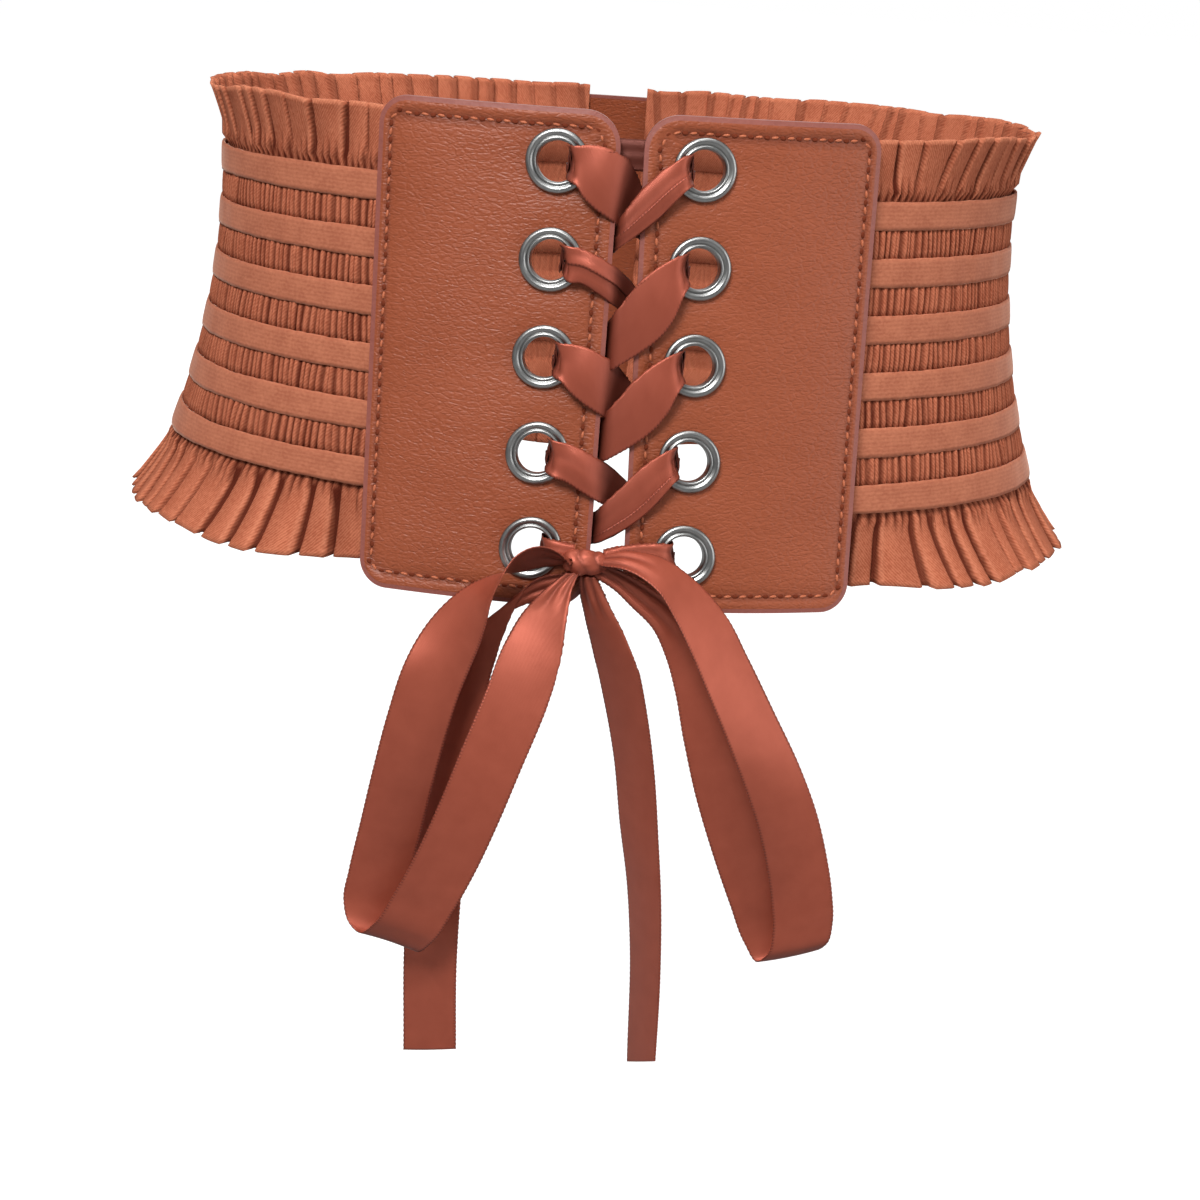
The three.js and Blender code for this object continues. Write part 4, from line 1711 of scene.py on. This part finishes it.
    def build_cloth(self) -> None:
        """Makes the whole side's cloth as one sheet."""
        bands = [{key: grid[:, ::-1] for key, grid in self.ruffle_grid(self.bottom).items()}]
        for index in reversed(range(self.strip_count)):
            bands.append(self.strip_grid(index))
            if index:
                bands.append(self.row_grid(index - 1))
        bands.append(self.ruffle_grid(self.top))
        z, offset, shift, depth = (
            np.concatenate([band[key] for band in bands], axis=1) for key in ("z", "offset", "shift", "depth")
        )
        seat = np.clip(z, self.bottom.root, self.top.root)
        around = self.angle(self.share[:, None], seat) + shift / self.length * np.pi
        middle = WAIST.point(around, seat, offset)
        middle[..., 2] = z
        hem = smooth((z - self.top.hem + self.hem_height) / self.hem_step)
        hem = hem + smooth((self.bottom.hem + self.hem_height - z) / self.hem_step)
        wall = self.cloth_wall + self.hem_wall * np.clip(hem, 0, 1)
        word = self.side.word
        name = f"{word}_gathered_cloth"
        uv = (np.broadcast_to(self.along[:, None] * self.stretch, z.shape), z)
        piece = self.wrap(name, middle, wall, uv, depth)
        piece.data.materials.append(self.finishes.twill)
        ride(piece, [f"gathered_cloth_{word}", f"top_ruffle_{word}", f"bottom_ruffle_{word}"])

    def build_strips(self) -> None:
        """Makes the six elastic strips."""
        up = np.linspace(-1.0, 1.0, STRIP.levels)[None, :]
        columns = np.arange(0, self.columns, 2)
        along = self.along[columns]
        crown = STRIP.crown * (1 - up**4) - STRIP.sink
        for index in range(self.strip_count):
            scallop, waver, ripple = (
                height * wander(self.rng, along, pace)[:, None]
                for height, pace in (STRIP.scallop, STRIP.waver, STRIP.ripple)
            )
            z = self.strip_level(index) + up * (self.strip_height / 2 + (scallop + waver) * np.abs(up) ** 3)
            offset = STRIP_INSIDE + STRIP_WALL / 2 + crown + ripple
            middle = WAIST.point(self.angle(self.share[columns][:, None], z), z, offset)
            uv = (np.broadcast_to(along[:, None], z.shape), z)
            name = f"elastic_strip_{self.side.word}_{index + 1}"
            piece = self.wrap(f"{name}_band", middle, STRIP_WALL * STRIP.wall_share, uv)
            piece.data.materials.append(self.finishes.elastic)
            ride(piece, [name])


# Ribbon


# The direction that the hanging loops swell in: outwards from the front and a little up
FORWARD = (-0.035, -0.955, 0.293)


@dataclass
class SatinRibbon:
    """A stretch of ribbon that follows a table of stations, folded lengthways where it lies narrow."""

    name: str
    stations: np.ndarray
    finishes: Finishes
    face: float = 1.0
    pleat: float = 0.0
    flap: float = 0.0
    flap_above: bool = False
    hide_folds: bool = False
    billow: float = 0.0
    end_slant: float = 0.0
    slant_reach: float = 30.0
    flat_width: float = 18.0
    least_width: float = 3.0
    creased_below: float = 8.0
    smooth_above: float = 14.0
    creases: float = 2.5
    crease_shade: float = 0.5
    wall: float = 0.34
    layer_gap: float = 0.5
    flap_rate: float = 4.0
    stack_rate: float = 3.0
    samples: int = 30
    spacing: float = 0.65
    tooth: float = 0.16
    undershade: float = 0.75
    undershade_from: float = 0.1
    undershade_range: float = 0.6
    held: str = "hung"

    def grid(self) -> tuple[np.ndarray, np.ndarray, np.ndarray]:
        """Works out where the ribbon lies.

        Returns:
            Its middle, the length along it at each station, and how shaded each place is.
        """
        path = through(self.stations, self.spacing)
        share = np.linspace(0, 1, len(path))[:, None]
        path[:, :3] += self.billow * np.sin(2 * np.pi * share) ** 2 * np.array(FORWARD)
        centre, across = path[:, :3], unit(path[:, 3:6])
        width = np.clip(path[:, 6:7], self.least_width, self.flat_width)
        along = unit(np.gradient(centre, axis=0))
        out = unit(np.cross(along, across)) * self.face
        layers = self.flat_width / width
        lead = self.flap * smooth((layers - 1) * self.flap_rate)
        material = np.linspace(0, 1, self.samples)[None, :] * layers - lead
        zigzag = 1 - np.abs(np.abs(material) % 2 - 1)
        stack = self.layer_gap * (layers / 2 - lead - material) * smooth((layers - 1) * self.stack_rate)
        towards_front = np.where(out[:, 1:2] < 0, 1, -1)
        if self.hide_folds:
            stack = stack * towards_front
        teeth = self.tooth * (np.arange(len(path)) % 2)[:, None]
        edge = np.zeros((1, self.samples))
        edge[0, 0], edge[0, -1] = -1, 1
        side = ((zigzag - 0.5) * width + edge * teeth) * (-1 if self.flap_above else 1)
        arch = path[:, 7:8] * (1 - (2 * zigzag - 1) ** 2)
        narrow = 1 - smooth((width - self.creased_below) / (self.smooth_above - self.creased_below))
        crease = narrow * np.cos(zigzag * self.creases * math.tau)
        height = stack + arch + self.pleat * crease
        dip = self.crease_shade * crease * -towards_front * min(4 * self.pleat, 1)
        shade = np.clip(path[:, 8:9] + np.maximum(dip, 0), 0, 1)
        middle = centre[:, None] + across[:, None] * side[..., None] + out[:, None] * height[..., None]
        steps = np.linalg.norm(np.diff(centre, axis=0), axis=1)
        length = np.concatenate([[0], np.cumsum(steps)])
        near_end = smooth((length - length[-1] + self.slant_reach) / self.slant_reach)[:, None]
        cut = self.end_slant * near_end * side / self.flat_width
        return middle + along[:, None] * cut[..., None], length, shade

    def build(self) -> None:
        """Makes the ribbon and ties it to the frame."""
        middle, length, shade = self.grid()
        inner, outer = thicken(middle, self.wall)
        lift = unit(outer - inner)[..., 2]
        unders = (smooth((down - self.undershade_from) / self.undershade_range) for down in (lift, -lift))
        inside, outside = (np.clip(shade + self.undershade * under, 0, 1) for under in unders)
        uv_width = np.linspace(0, self.flat_width, self.samples)
        uv = tuple(np.broadcast_to(part, middle.shape[:2]) for part in (length[:, None], uv_width))
        piece = wall_mesh(f"{self.name}_satin", (inner, outer), uv, {"shade": (inside, outside)})
        piece.data.materials.append(self.finishes.satin)
        ride(piece, [self.name])


# Columns: distance from the middle line, drop below the eyelet it leaves, lift off the leather's middle,
# width, lean in degrees, share of the crossing's spread, rise of the ribbon's middle over its edges
UNDER_PASS = (
    (-18.2, 0, 0.2, 8.0, 0, 0, -1.0),
    (-18.6, 0.1, 2.6, 9.6, -6, 0, -2.4),
    (-17.2, 0.4, 4.2, 10.6, -8, 0, -1.3),
    (-12.5, 2.0, 4.0, 11.8, 6, 0.7, 0.5),
    (-7.6, 4.7, 3.4, 13, 4, 1, 0.8),
    (-5.0, 6.2, 2.6, 13.6, 0, 1, 0.5),
    (-3.6, 7.1, 1.7, 13.8, 0, 1, 0.3),
    (-2.4, 7.9, 0.6, 13.8, 0, 1, 0.2),
    (-0.8, 9.1, -0.7, 13.6, 0, 0.9, 0.1),
    (2.2, 11.6, -2.4, 13, 0, 0.6, 0),
    (4.8, 14.2, -2.9, 12, 0, 0.3, 0),
    (11.5, 20.4, -3.6, 9, 0, 0, 0),
    (17.0, 26.8, -4.0, 7.4, 0, 0, 0),
    (18.2, 27.2, -2.9, 7.2, 0, 0, 0),
    (18.2, 27.2, -0.2, 7.2, 0, 0, 0),
)
OVER_PASS = (
    (-18.2, 0, 0.2, 8.0, 0, 0, -1.0),
    (-18.5, 0.1, 2.6, 9.2, 0, 0, -2.2),
    (-17.0, 0.5, 4.2, 9.6, 6, 0.2, -1.1),
    (-12.5, 4.0, 4.0, 10.4, 20, 0.8, 0.4),
    (-7.6, 9.0, 3.2, 11, 22, 1, 0.7),
    (-4.0, 12.6, 2.8, 11, 14, 1, 0.6),
    (-1.2, 15.2, 2.5, 10.6, 8, 1, 0.4),
    (0.9, 17.2, 2.2, 10.2, 4, 1, 0.3),
    (2.2, 18.5, 1.4, 10, 2, 1, 0.1),
    (2.9, 19.4, 0.3, 9.8, 0, 0.9, 0),
    (3.3, 20.1, -0.9, 9.6, 0, 0.8, 0),
    (3.9, 20.8, -2.2, 9.2, 0, 0.7, 0),
    (5.4, 21.8, -2.9, 8.6, 0, 0.5, 0),
    (10.4, 24.4, -3.6, 7.4, 0, 0, 0),
    (16.6, 27.0, -4.0, 7, 0, 0, 0),
    (18.2, 27.2, -2.9, 7.2, 0, 0, 0),
    (18.2, 27.2, -0.2, 7.2, 0, 0, 0),
)
TOP_BAR = (
    (-18.2, 0, -0.2, 7.5, 0, 0, 0),
    (-18.2, 0, -2.9, 7.5, 0, 0, 0),
    (-16.4, -1.2, -4.0, 8, 0, 0, 0),
    (-9.5, -2.4, -3.2, 8.5, 0, 0, 0.2),
    (0, -2.8, -2.9, 9, 0, 0, 0.3),
    (9.5, -2.4, -3.2, 8.5, 0, 0, 0.2),
    (16.4, -1.2, -4.0, 8, 0, 0, 0),
    (18.2, 0, -2.9, 7.5, 0, 0, 0),
    (18.2, 0, -0.2, 7.5, 0, 0, 0),
)
END_LEFT = (
    (-18.2, -0.6, 0.2, 6.4, 0, 0, -1.0),
    (-18.2, -0.6, 2.9, 6.4, 0, 0, -1.0),
    (-16.6, -0.8, 4.3, 6, 0, 0, -0.2),
    (-13.6, -0.9, 4.8, 5.4, 0, 0, 0.3),
    (-8.8, -0.4, 4.8, 5, 0, 0, 0.3),
)
END_RIGHT = (
    (-18.2, -0.8, 0.2, 6.4, 0, 0, -1.0),
    (-18.2, -0.8, 2.9, 6.6, 0, 0, -1.2),
    (-16.2, -1.2, 4.3, 6.4, 0, 0, -0.2),
    (-10.6, -1.8, 4.6, 5.2, 0, 0, 0.3),
    (-3.6, -1.6, 5.2, 3.8, 0, 0, 0.3),
    (1.0, -0.6, 6.0, 3.2, 0, 0, 0.3),
)


@dataclass(frozen=True)
class Lie:
    """How one pass lies: its extra width, the share of it above, its extra lean, and its folded part."""

    spread: float = 0.0
    flap: float = 0.0
    flap_above: bool = False
    upward: float = 0.0
    turn: float = 0.0


@dataclass
class Lacing:
    """The ribbon laced through the eyelets."""

    panels: FrontPanels
    finishes: Finishes
    pleat: float = 0.08
    shade_above: float = 4.2
    shade_range: float = 5.5
    least_shade: float = 0.12
    under: tuple[Lie, ...] = (
        Lie(4.2, upward=0.6, turn=9),
        Lie(-3, flap=0.5, flap_above=True),
        Lie(2.4, upward=0.5, turn=5),
        Lie(-1.5),
    )
    over: tuple[Lie, ...] = (Lie(-0.6, flap=0.42), Lie(6), Lie(4.5), Lie(1, flap=0.27))

    def stations(self, table: Sequence[Sequence[float]], top: float, side: int, lie: Lie) -> np.ndarray:
        """A pass's stations in space.

        Args:
            table: the pass, one row for each station.
            top: the height of the eyelet that it leaves.
            side: 1 where it starts at the left, -1 where it starts at the right.
            lie: how much wider than the table the crossing lies, and to which side.

        Returns:
            Rows of place, across direction, width, arch and shade.
        """
        rows = []
        half_gap, gap_lean = self.panels.gap_half_width, self.panels.gap_lean
        for from_middle, drop, lift, own_width, lean, open_share, arch in table:
            width = own_width + open_share * lie.spread
            z = top - drop - open_share * lie.spread * (0.5 - lie.upward)
            shift = np.clip(from_middle / half_gap, -1, 1) * gap_lean * z
            x = side * (from_middle + shift)
            level, up, _ = WAIST.directions(x, z, PANEL_MIDDLE)
            angle = math.radians(lean + open_share * lie.turn)
            across = up * math.cos(angle) + level * side * math.sin(angle)
            shade = mix(self.least_shade, 1, smooth((self.shade_above - lift) / self.shade_range))
            rows.append([*WAIST.front(x, z, PANEL_MIDDLE + lift), *across, width, arch, shade])
        return np.array(rows)

    def build(self) -> None:
        """Makes the bar, the crossings and the two ends."""
        tops = [self.panels.eyelet_place(row)[1] for row in range(self.panels.rows)]
        jobs = [("lace_top_bar", TOP_BAR, tops[0], 1, Lie())]
        for row, (under, over) in enumerate(zip(self.under, self.over)):
            jobs.append((f"lace_under_{row + 1}", UNDER_PASS, tops[row], 1, under))
            jobs.append((f"lace_over_{row + 1}", OVER_PASS, tops[row], -1, over))
        jobs.append(("lace_end_left", END_LEFT, tops[-1], 1, Lie()))
        jobs.append(("lace_end_right", END_RIGHT, tops[-1], -1, Lie()))
        for name, table, top, side, lie in jobs:
            fold = {"flap": lie.flap, "flap_above": lie.flap_above, "pleat": self.pleat}
            stations = self.stations(table, top, side, lie)
            SatinRibbon(name, stations, self.finishes, face=side, held="stretched", **fold).build()


# Columns: x, y, z, width, lean up from +X and turn towards the front, both in degrees
BOW_TABLES = {
    "bow_loop_left": (
        (-10.2, -104.6, -54.6, 5.4, -90, 96),
        (-13.6, -106.4, -53.2, 9.4, -90, 124),
        (-19, -107.6, -52.4, 12.5, -90, 132),
        (-25, -108.4, -54.4, 15, -84, 124),
        (-31, -107.8, -60.4, 17, -64, 92),
        (-37, -106.6, -68.6, 18, -38, 60),
        (-42.5, -105, -78, 18, -20, 34),
        (-47.5, -104, -90, 18, -14, 12),
        (-51.6, -103, -105.5, 18, -13, 6),
        (-55.4, -102.4, -123, 18, -12, 4),
        (-59, -102, -141, 18, -12, 2),
        (-62.2, -101.8, -157, 18, -14, 0),
        (-63.6, -102.4, -167, 18, -16, 0),
        (-61.8, -104.4, -173.4, 18, -17, 0),
        (-58.2, -107.4, -175.2, 18, -17, 0),
        (-53.6, -110.2, -170.6, 18, -17, 0),
        (-47.6, -111.4, -159.3, 18, -18, 0),
        (-41, -111.6, -144.6, 18, -20, 0),
        (-35.3, -111.6, -129.4, 18, -21, 0),
        (-29.6, -111.4, -112.3, 18, -19, 2),
        (-23.6, -110.8, -94.3, 18, -14, 6),
        (-19.6, -109.6, -79.5, 17, -8, 14),
        (-16.6, -107.8, -69, 13, 2, 20),
        (-13.2, -106.4, -61.8, 8, 8, 10),
        (-9.6, -104.8, -57.6, 4.4, 12, 6),
    ),
    "bow_loop_right": (
        (-1.8, -104.0, -54.0, 5.0, 90, -60),
        (5.2, -107.0, -52.4, 8.6, 86, -60),
        (14.7, -109.4, -55, 13, 72, -58),
        (22, -110, -61.5, 15.5, 56, -50),
        (28.7, -110.6, -70, 17.5, 44, -44),
        (36.6, -110.8, -84.5, 18, 34, -40),
        (44.4, -110.6, -99.7, 18, 24, -34),
        (51.8, -110.2, -114.5, 18, 16, -22),
        (57.7, -109.8, -128.5, 18, 12, -12),
        (61.6, -109.4, -141, 18, 10, -6),
        (64.4, -109, -152.8, 18, 12, 0),
        (65.8, -108.4, -163, 18, 14, 0),
        (65, -107, -171, 18, 15, 0),
        (62, -104.4, -174.6, 18, 16, 0),
        (58.2, -102.2, -169.6, 18, 18, 0),
        (52.4, -101.6, -156.4, 18, 20, 0),
        (45.2, -101.4, -138.6, 18, 20, 0),
        (38.8, -101.4, -120.6, 18, 17, 0),
        (34.4, -101.6, -104.8, 18, 14, 0),
        (30.4, -101.8, -90.2, 17, 16, 0),
        (25.2, -102.4, -79.2, 14, 24, 0),
        (18.4, -103, -70.4, 10, 34, -8),
        (10.4, -103.2, -64, 8, 44, -10),
        (4.2, -103, -59.8, 6, 54, -8),
        (-2.6, -102.8, -56.6, 4.6, 62, -6),
    ),
    "bow_tail_left": (
        (-8.8, -102.6, -58.6, 3.6, 78, 0),
        (-13, -102.4, -61.2, 6, 78, 0),
        (-19.6, -102.4, -63.6, 9, 66, 0),
        (-26.8, -102.8, -67.8, 13, 48, 2),
        (-33.6, -102.6, -75.4, 16.5, 28, 6),
        (-38.8, -101.2, -87, 18, 14, 16),
        (-41.6, -99.6, -102, 18, 6, 24),
        (-43, -98.6, -120, 18, 5, 27),
        (-43.8, -98, -140, 18, 4, 27),
        (-45.2, -98, -160, 18, 3, 26),
        (-45.7, -98, -182, 18, 0, 25),
        (-44.6, -98, -215.8, 18, -1, 24),
    ),
    "bow_tail_right": (
        (-5.2, -102.8, -58.6, 5, 2, 10),
        (-2.8, -102.6, -65.6, 9, 4, 36),
        (0.8, -102.8, -74.4, 14, 2, 42),
        (4.8, -102.8, -85.4, 18, 4, 46),
        (8, -102.2, -97.5, 18, 6, 48),
        (11.9, -101.4, -116, 18, 5, 51),
        (15, -100.8, -138, 18, 4, 53),
        (17.9, -100.4, -158, 18, 3, 58),
        (19.9, -100, -181, 18, 2, 62),
        (21.1, -99.8, -215.5, 18, 1, 65),
    ),
}


# How far aslant the tails' ends are cut, and how far the loops swell
END_SLANTS = {"bow_tail_left": -5.5, "bow_tail_right": -9.5}
BILLOWS = {"bow_loop_left": 8.0, "bow_loop_right": 8.0}


@dataclass
class Bow:
    """The knot, two loops and two tails."""

    finishes: Finishes
    knot_centre: tuple[float, float, float] = (-6.2, -103.0, -54.6)
    knot_halves: tuple[float, float, float] = (6.6, 4.2, 3.9)
    knot_creases: float = 4.4
    knot_phase: float = 0.6
    knot_twist: tuple[float, float] = (0.22, 0.06)
    knot_squareness: tuple[float, float] = (2.6, 0.36)
    knot_pole: float = 0.995
    knot_size: float = 0.8
    knot_least: float = 0.05
    knot_lumps: float = 0.1
    knot_lump_scale: tuple[float, float, float] = (1.6, 2.0, 2.0)
    knot_taper: float = 0.12
    crease_softness: float = 0.45
    crease_height: float = 0.17
    crease_shade: float = 0.7
    knot_uv: tuple[float, float] = (0.03, 0.014)
    arch: float = 0.4
    pleat: float = 0.3
    root_shade: float = 0.5
    root_width: float = 7.0
    root_fade: float = 4.0

    def build(self) -> None:
        """Makes the bow."""
        self.build_knot()
        for name, table in BOW_TABLES.items():
            rows = []
            for x, y, z, width, lean, turn in table:
                up, forward = math.radians(lean), math.radians(turn)
                level = math.cos(forward)
                across = (level * math.cos(up), -math.sin(forward), level * math.sin(up))
                shade = self.root_shade * smooth((self.root_width - width) / self.root_fade)
                rows.append([x, y, z, *across, width, self.arch, shade])
            ends = {"end_slant": END_SLANTS.get(name, 0.0), "billow": BILLOWS.get(name, 0.0)}
            folds = {"pleat": self.pleat, "hide_folds": True, "spacing": 0.8}
            SatinRibbon(name, np.array(rows), self.finishes, **folds, **ends).build()

    def build_knot(self) -> None:
        """Makes the knot: a wrapped band with creases that run round it."""
        piece = lying_ball(72, 40)
        piece.name = "bow_knot_satin"
        shades: list[float] = []
        for vertex in piece.data.vertices:
            x, y, z = vertex.co
            turn = math.atan2(z, -y)
            slanted = x + self.knot_twist[0] * math.sin(turn) + self.knot_twist[1] * math.sin(3 * turn)
            crease = abs(math.sin(self.knot_creases * slanted + self.knot_phase)) ** self.crease_softness
            inner, outer = self.knot_squareness
            reach = max(math.hypot(y, z), self.knot_least)
            body = (1 - abs(x) ** inner) ** outer / reach if abs(x) < self.knot_pole else 1
            spot = Vector([part * size for part, size in zip(vertex.co, self.knot_lump_scale)])
            lump = 1 + self.knot_lumps * noise.noise(spot)
            shades.append(self.crease_shade * (1 - crease))
            swell = body * lump * (self.knot_size + self.crease_height * crease)
            scaled = (x, y * swell, z * swell * (1 - self.knot_taper * x))
            vertex.co = [(c * h + o) * MM for c, h, o in zip(scaled, self.knot_halves, self.knot_centre)]
        keep_values(piece.data, "shade", shades)
        bpy.ops.object.shade_smooth()
        layer = piece.data.uv_layers.active
        layer.name = "cloth"
        for entry in layer.data:
            entry.uv = [part * size for part, size in zip(entry.uv, self.knot_uv)]
        piece.data.materials.append(self.finishes.satin)
        ride(piece, ["bow_knot"])


# Studio


@dataclass
class Studio:
    """The floor, the lights and the camera."""

    eye: tuple[float, float, float] = (-23.7, -692.3, 114.7)
    heading: float = 2.17
    tilt: float = -17.01
    roll: float = 3.86
    lens: float = 64.2
    clip_start: float = 0.01
    aim: tuple[float, float, float] = (0.0, 0.0, -0.05)
    floor_level: float = -262.0
    floor_grey: float = 0.32
    floor_glow: float = 0.85
    surround: tuple[float, float] = (0.1, 0.46)
    lamps: tuple[tuple[str, tuple[float, float, float], float, float], ...] = (
        ("key", (-0.45, -1.15, 1.2), 0.6, 31.0),
        ("fill", (1.4, -0.7, 0.3), 1.0, 9.0),
        ("top", (0.1, -0.2, 1.5), 0.8, 8.0),
        ("back", (0.3, 1.5, 0.6), 1.2, 4.0),
    )

    def build(self) -> None:
        """Makes the whole studio."""
        self.build_floor()
        self.build_lights()
        self.build_camera()

    def build_floor(self) -> None:
        """A plain pale floor that glows a little for the camera, so that it has no horizon."""
        deselect()
        bpy.ops.mesh.primitive_plane_add(size=30, location=(0, 0, self.floor_level * MM))
        floor = bpy.context.object
        floor.name = "studio_floor"
        made, nodes = start_material("studio_floor")
        path = nodes.add("ShaderNodeLightPath").outputs["Is Camera Ray"]
        glow = nodes.blend(path, rgba((0, 0, 0)), rgba([self.floor_glow] * 3))
        shader = {"Base Color": rgba([self.floor_grey] * 3), "Roughness": 0.9}
        end_material(nodes, shader | {"Emission Color": glow, "Emission Strength": 1.0})
        floor.data.materials.append(made)

    def build_lights(self) -> None:
        """Soft lights from above the front, and a surround that is darker below."""
        for name, place, size, power in self.lamps:
            deselect()
            bpy.ops.object.light_add(type="AREA", location=place)
            light = bpy.context.object
            light.name = name
            light.data.size = size
            light.data.energy = power
            ray = Vector(self.aim) - Vector(place)
            light.rotation_euler = ray.to_track_quat("-Z", "Y").to_euler()
        world = bpy.data.worlds.new("surround")
        world.use_nodes = True
        nodes = Nodes(world.node_tree)
        path = nodes.add("ShaderNodeLightPath").outputs["Is Camera Ray"]
        look = nodes.add("ShaderNodeTexCoord").outputs["Generated"]
        height = nodes.add("ShaderNodeSeparateXYZ", {0: look}).outputs["Z"]
        strength = nodes.math("MAXIMUM", path, nodes.ramp(height, (-0.3, 0.7), self.surround))
        ground = nodes.add("ShaderNodeBackground", {"Color": rgba((1, 1, 1)), "Strength": strength})
        nodes.add("ShaderNodeOutputWorld", {"Surface": ground.outputs[0]})
        bpy.context.scene.world = world

    def build_camera(self) -> None:
        """The camera at the photograph's viewing angle."""
        data = bpy.data.cameras.new("camera")
        data.lens = self.lens
        data.sensor_width = 36.0
        data.sensor_fit = "HORIZONTAL"
        data.clip_start = self.clip_start
        camera = bpy.data.objects.new("camera", data)
        bpy.context.scene.collection.objects.link(camera)
        turn = Matrix.Rotation(math.radians(-self.heading), 4, "Z")
        turn = turn @ Matrix.Rotation(math.radians(90 + self.tilt), 4, "X")
        turn = turn @ Matrix.Rotation(math.radians(self.roll), 4, "Z")
        camera.matrix_world = Matrix.Translation(Vector(self.eye) * MM) @ turn
        bpy.context.scene.camera = camera
        bpy.context.scene.view_settings.view_transform = "Standard"


def main() -> None:
    """Builds the belt, piece by piece, and its studio."""
    logging.basicConfig(level=logging.INFO, format="%(name)s %(message)s")
    finishes = Finishes()
    panels = FrontPanels(finishes)
    for side, seed in ((Side.LEFT, 11), (Side.RIGHT, 23)):
        panels.build(side)
        cloth = GatheredSide(side, seed, finishes)
        cloth.build_cloth()
        cloth.build_strips()
    BackTab(finishes).build()
    Lacing(panels, finishes).build()
    Bow(finishes).build()
    Studio().build()


if __name__ == "__main__":
    main()
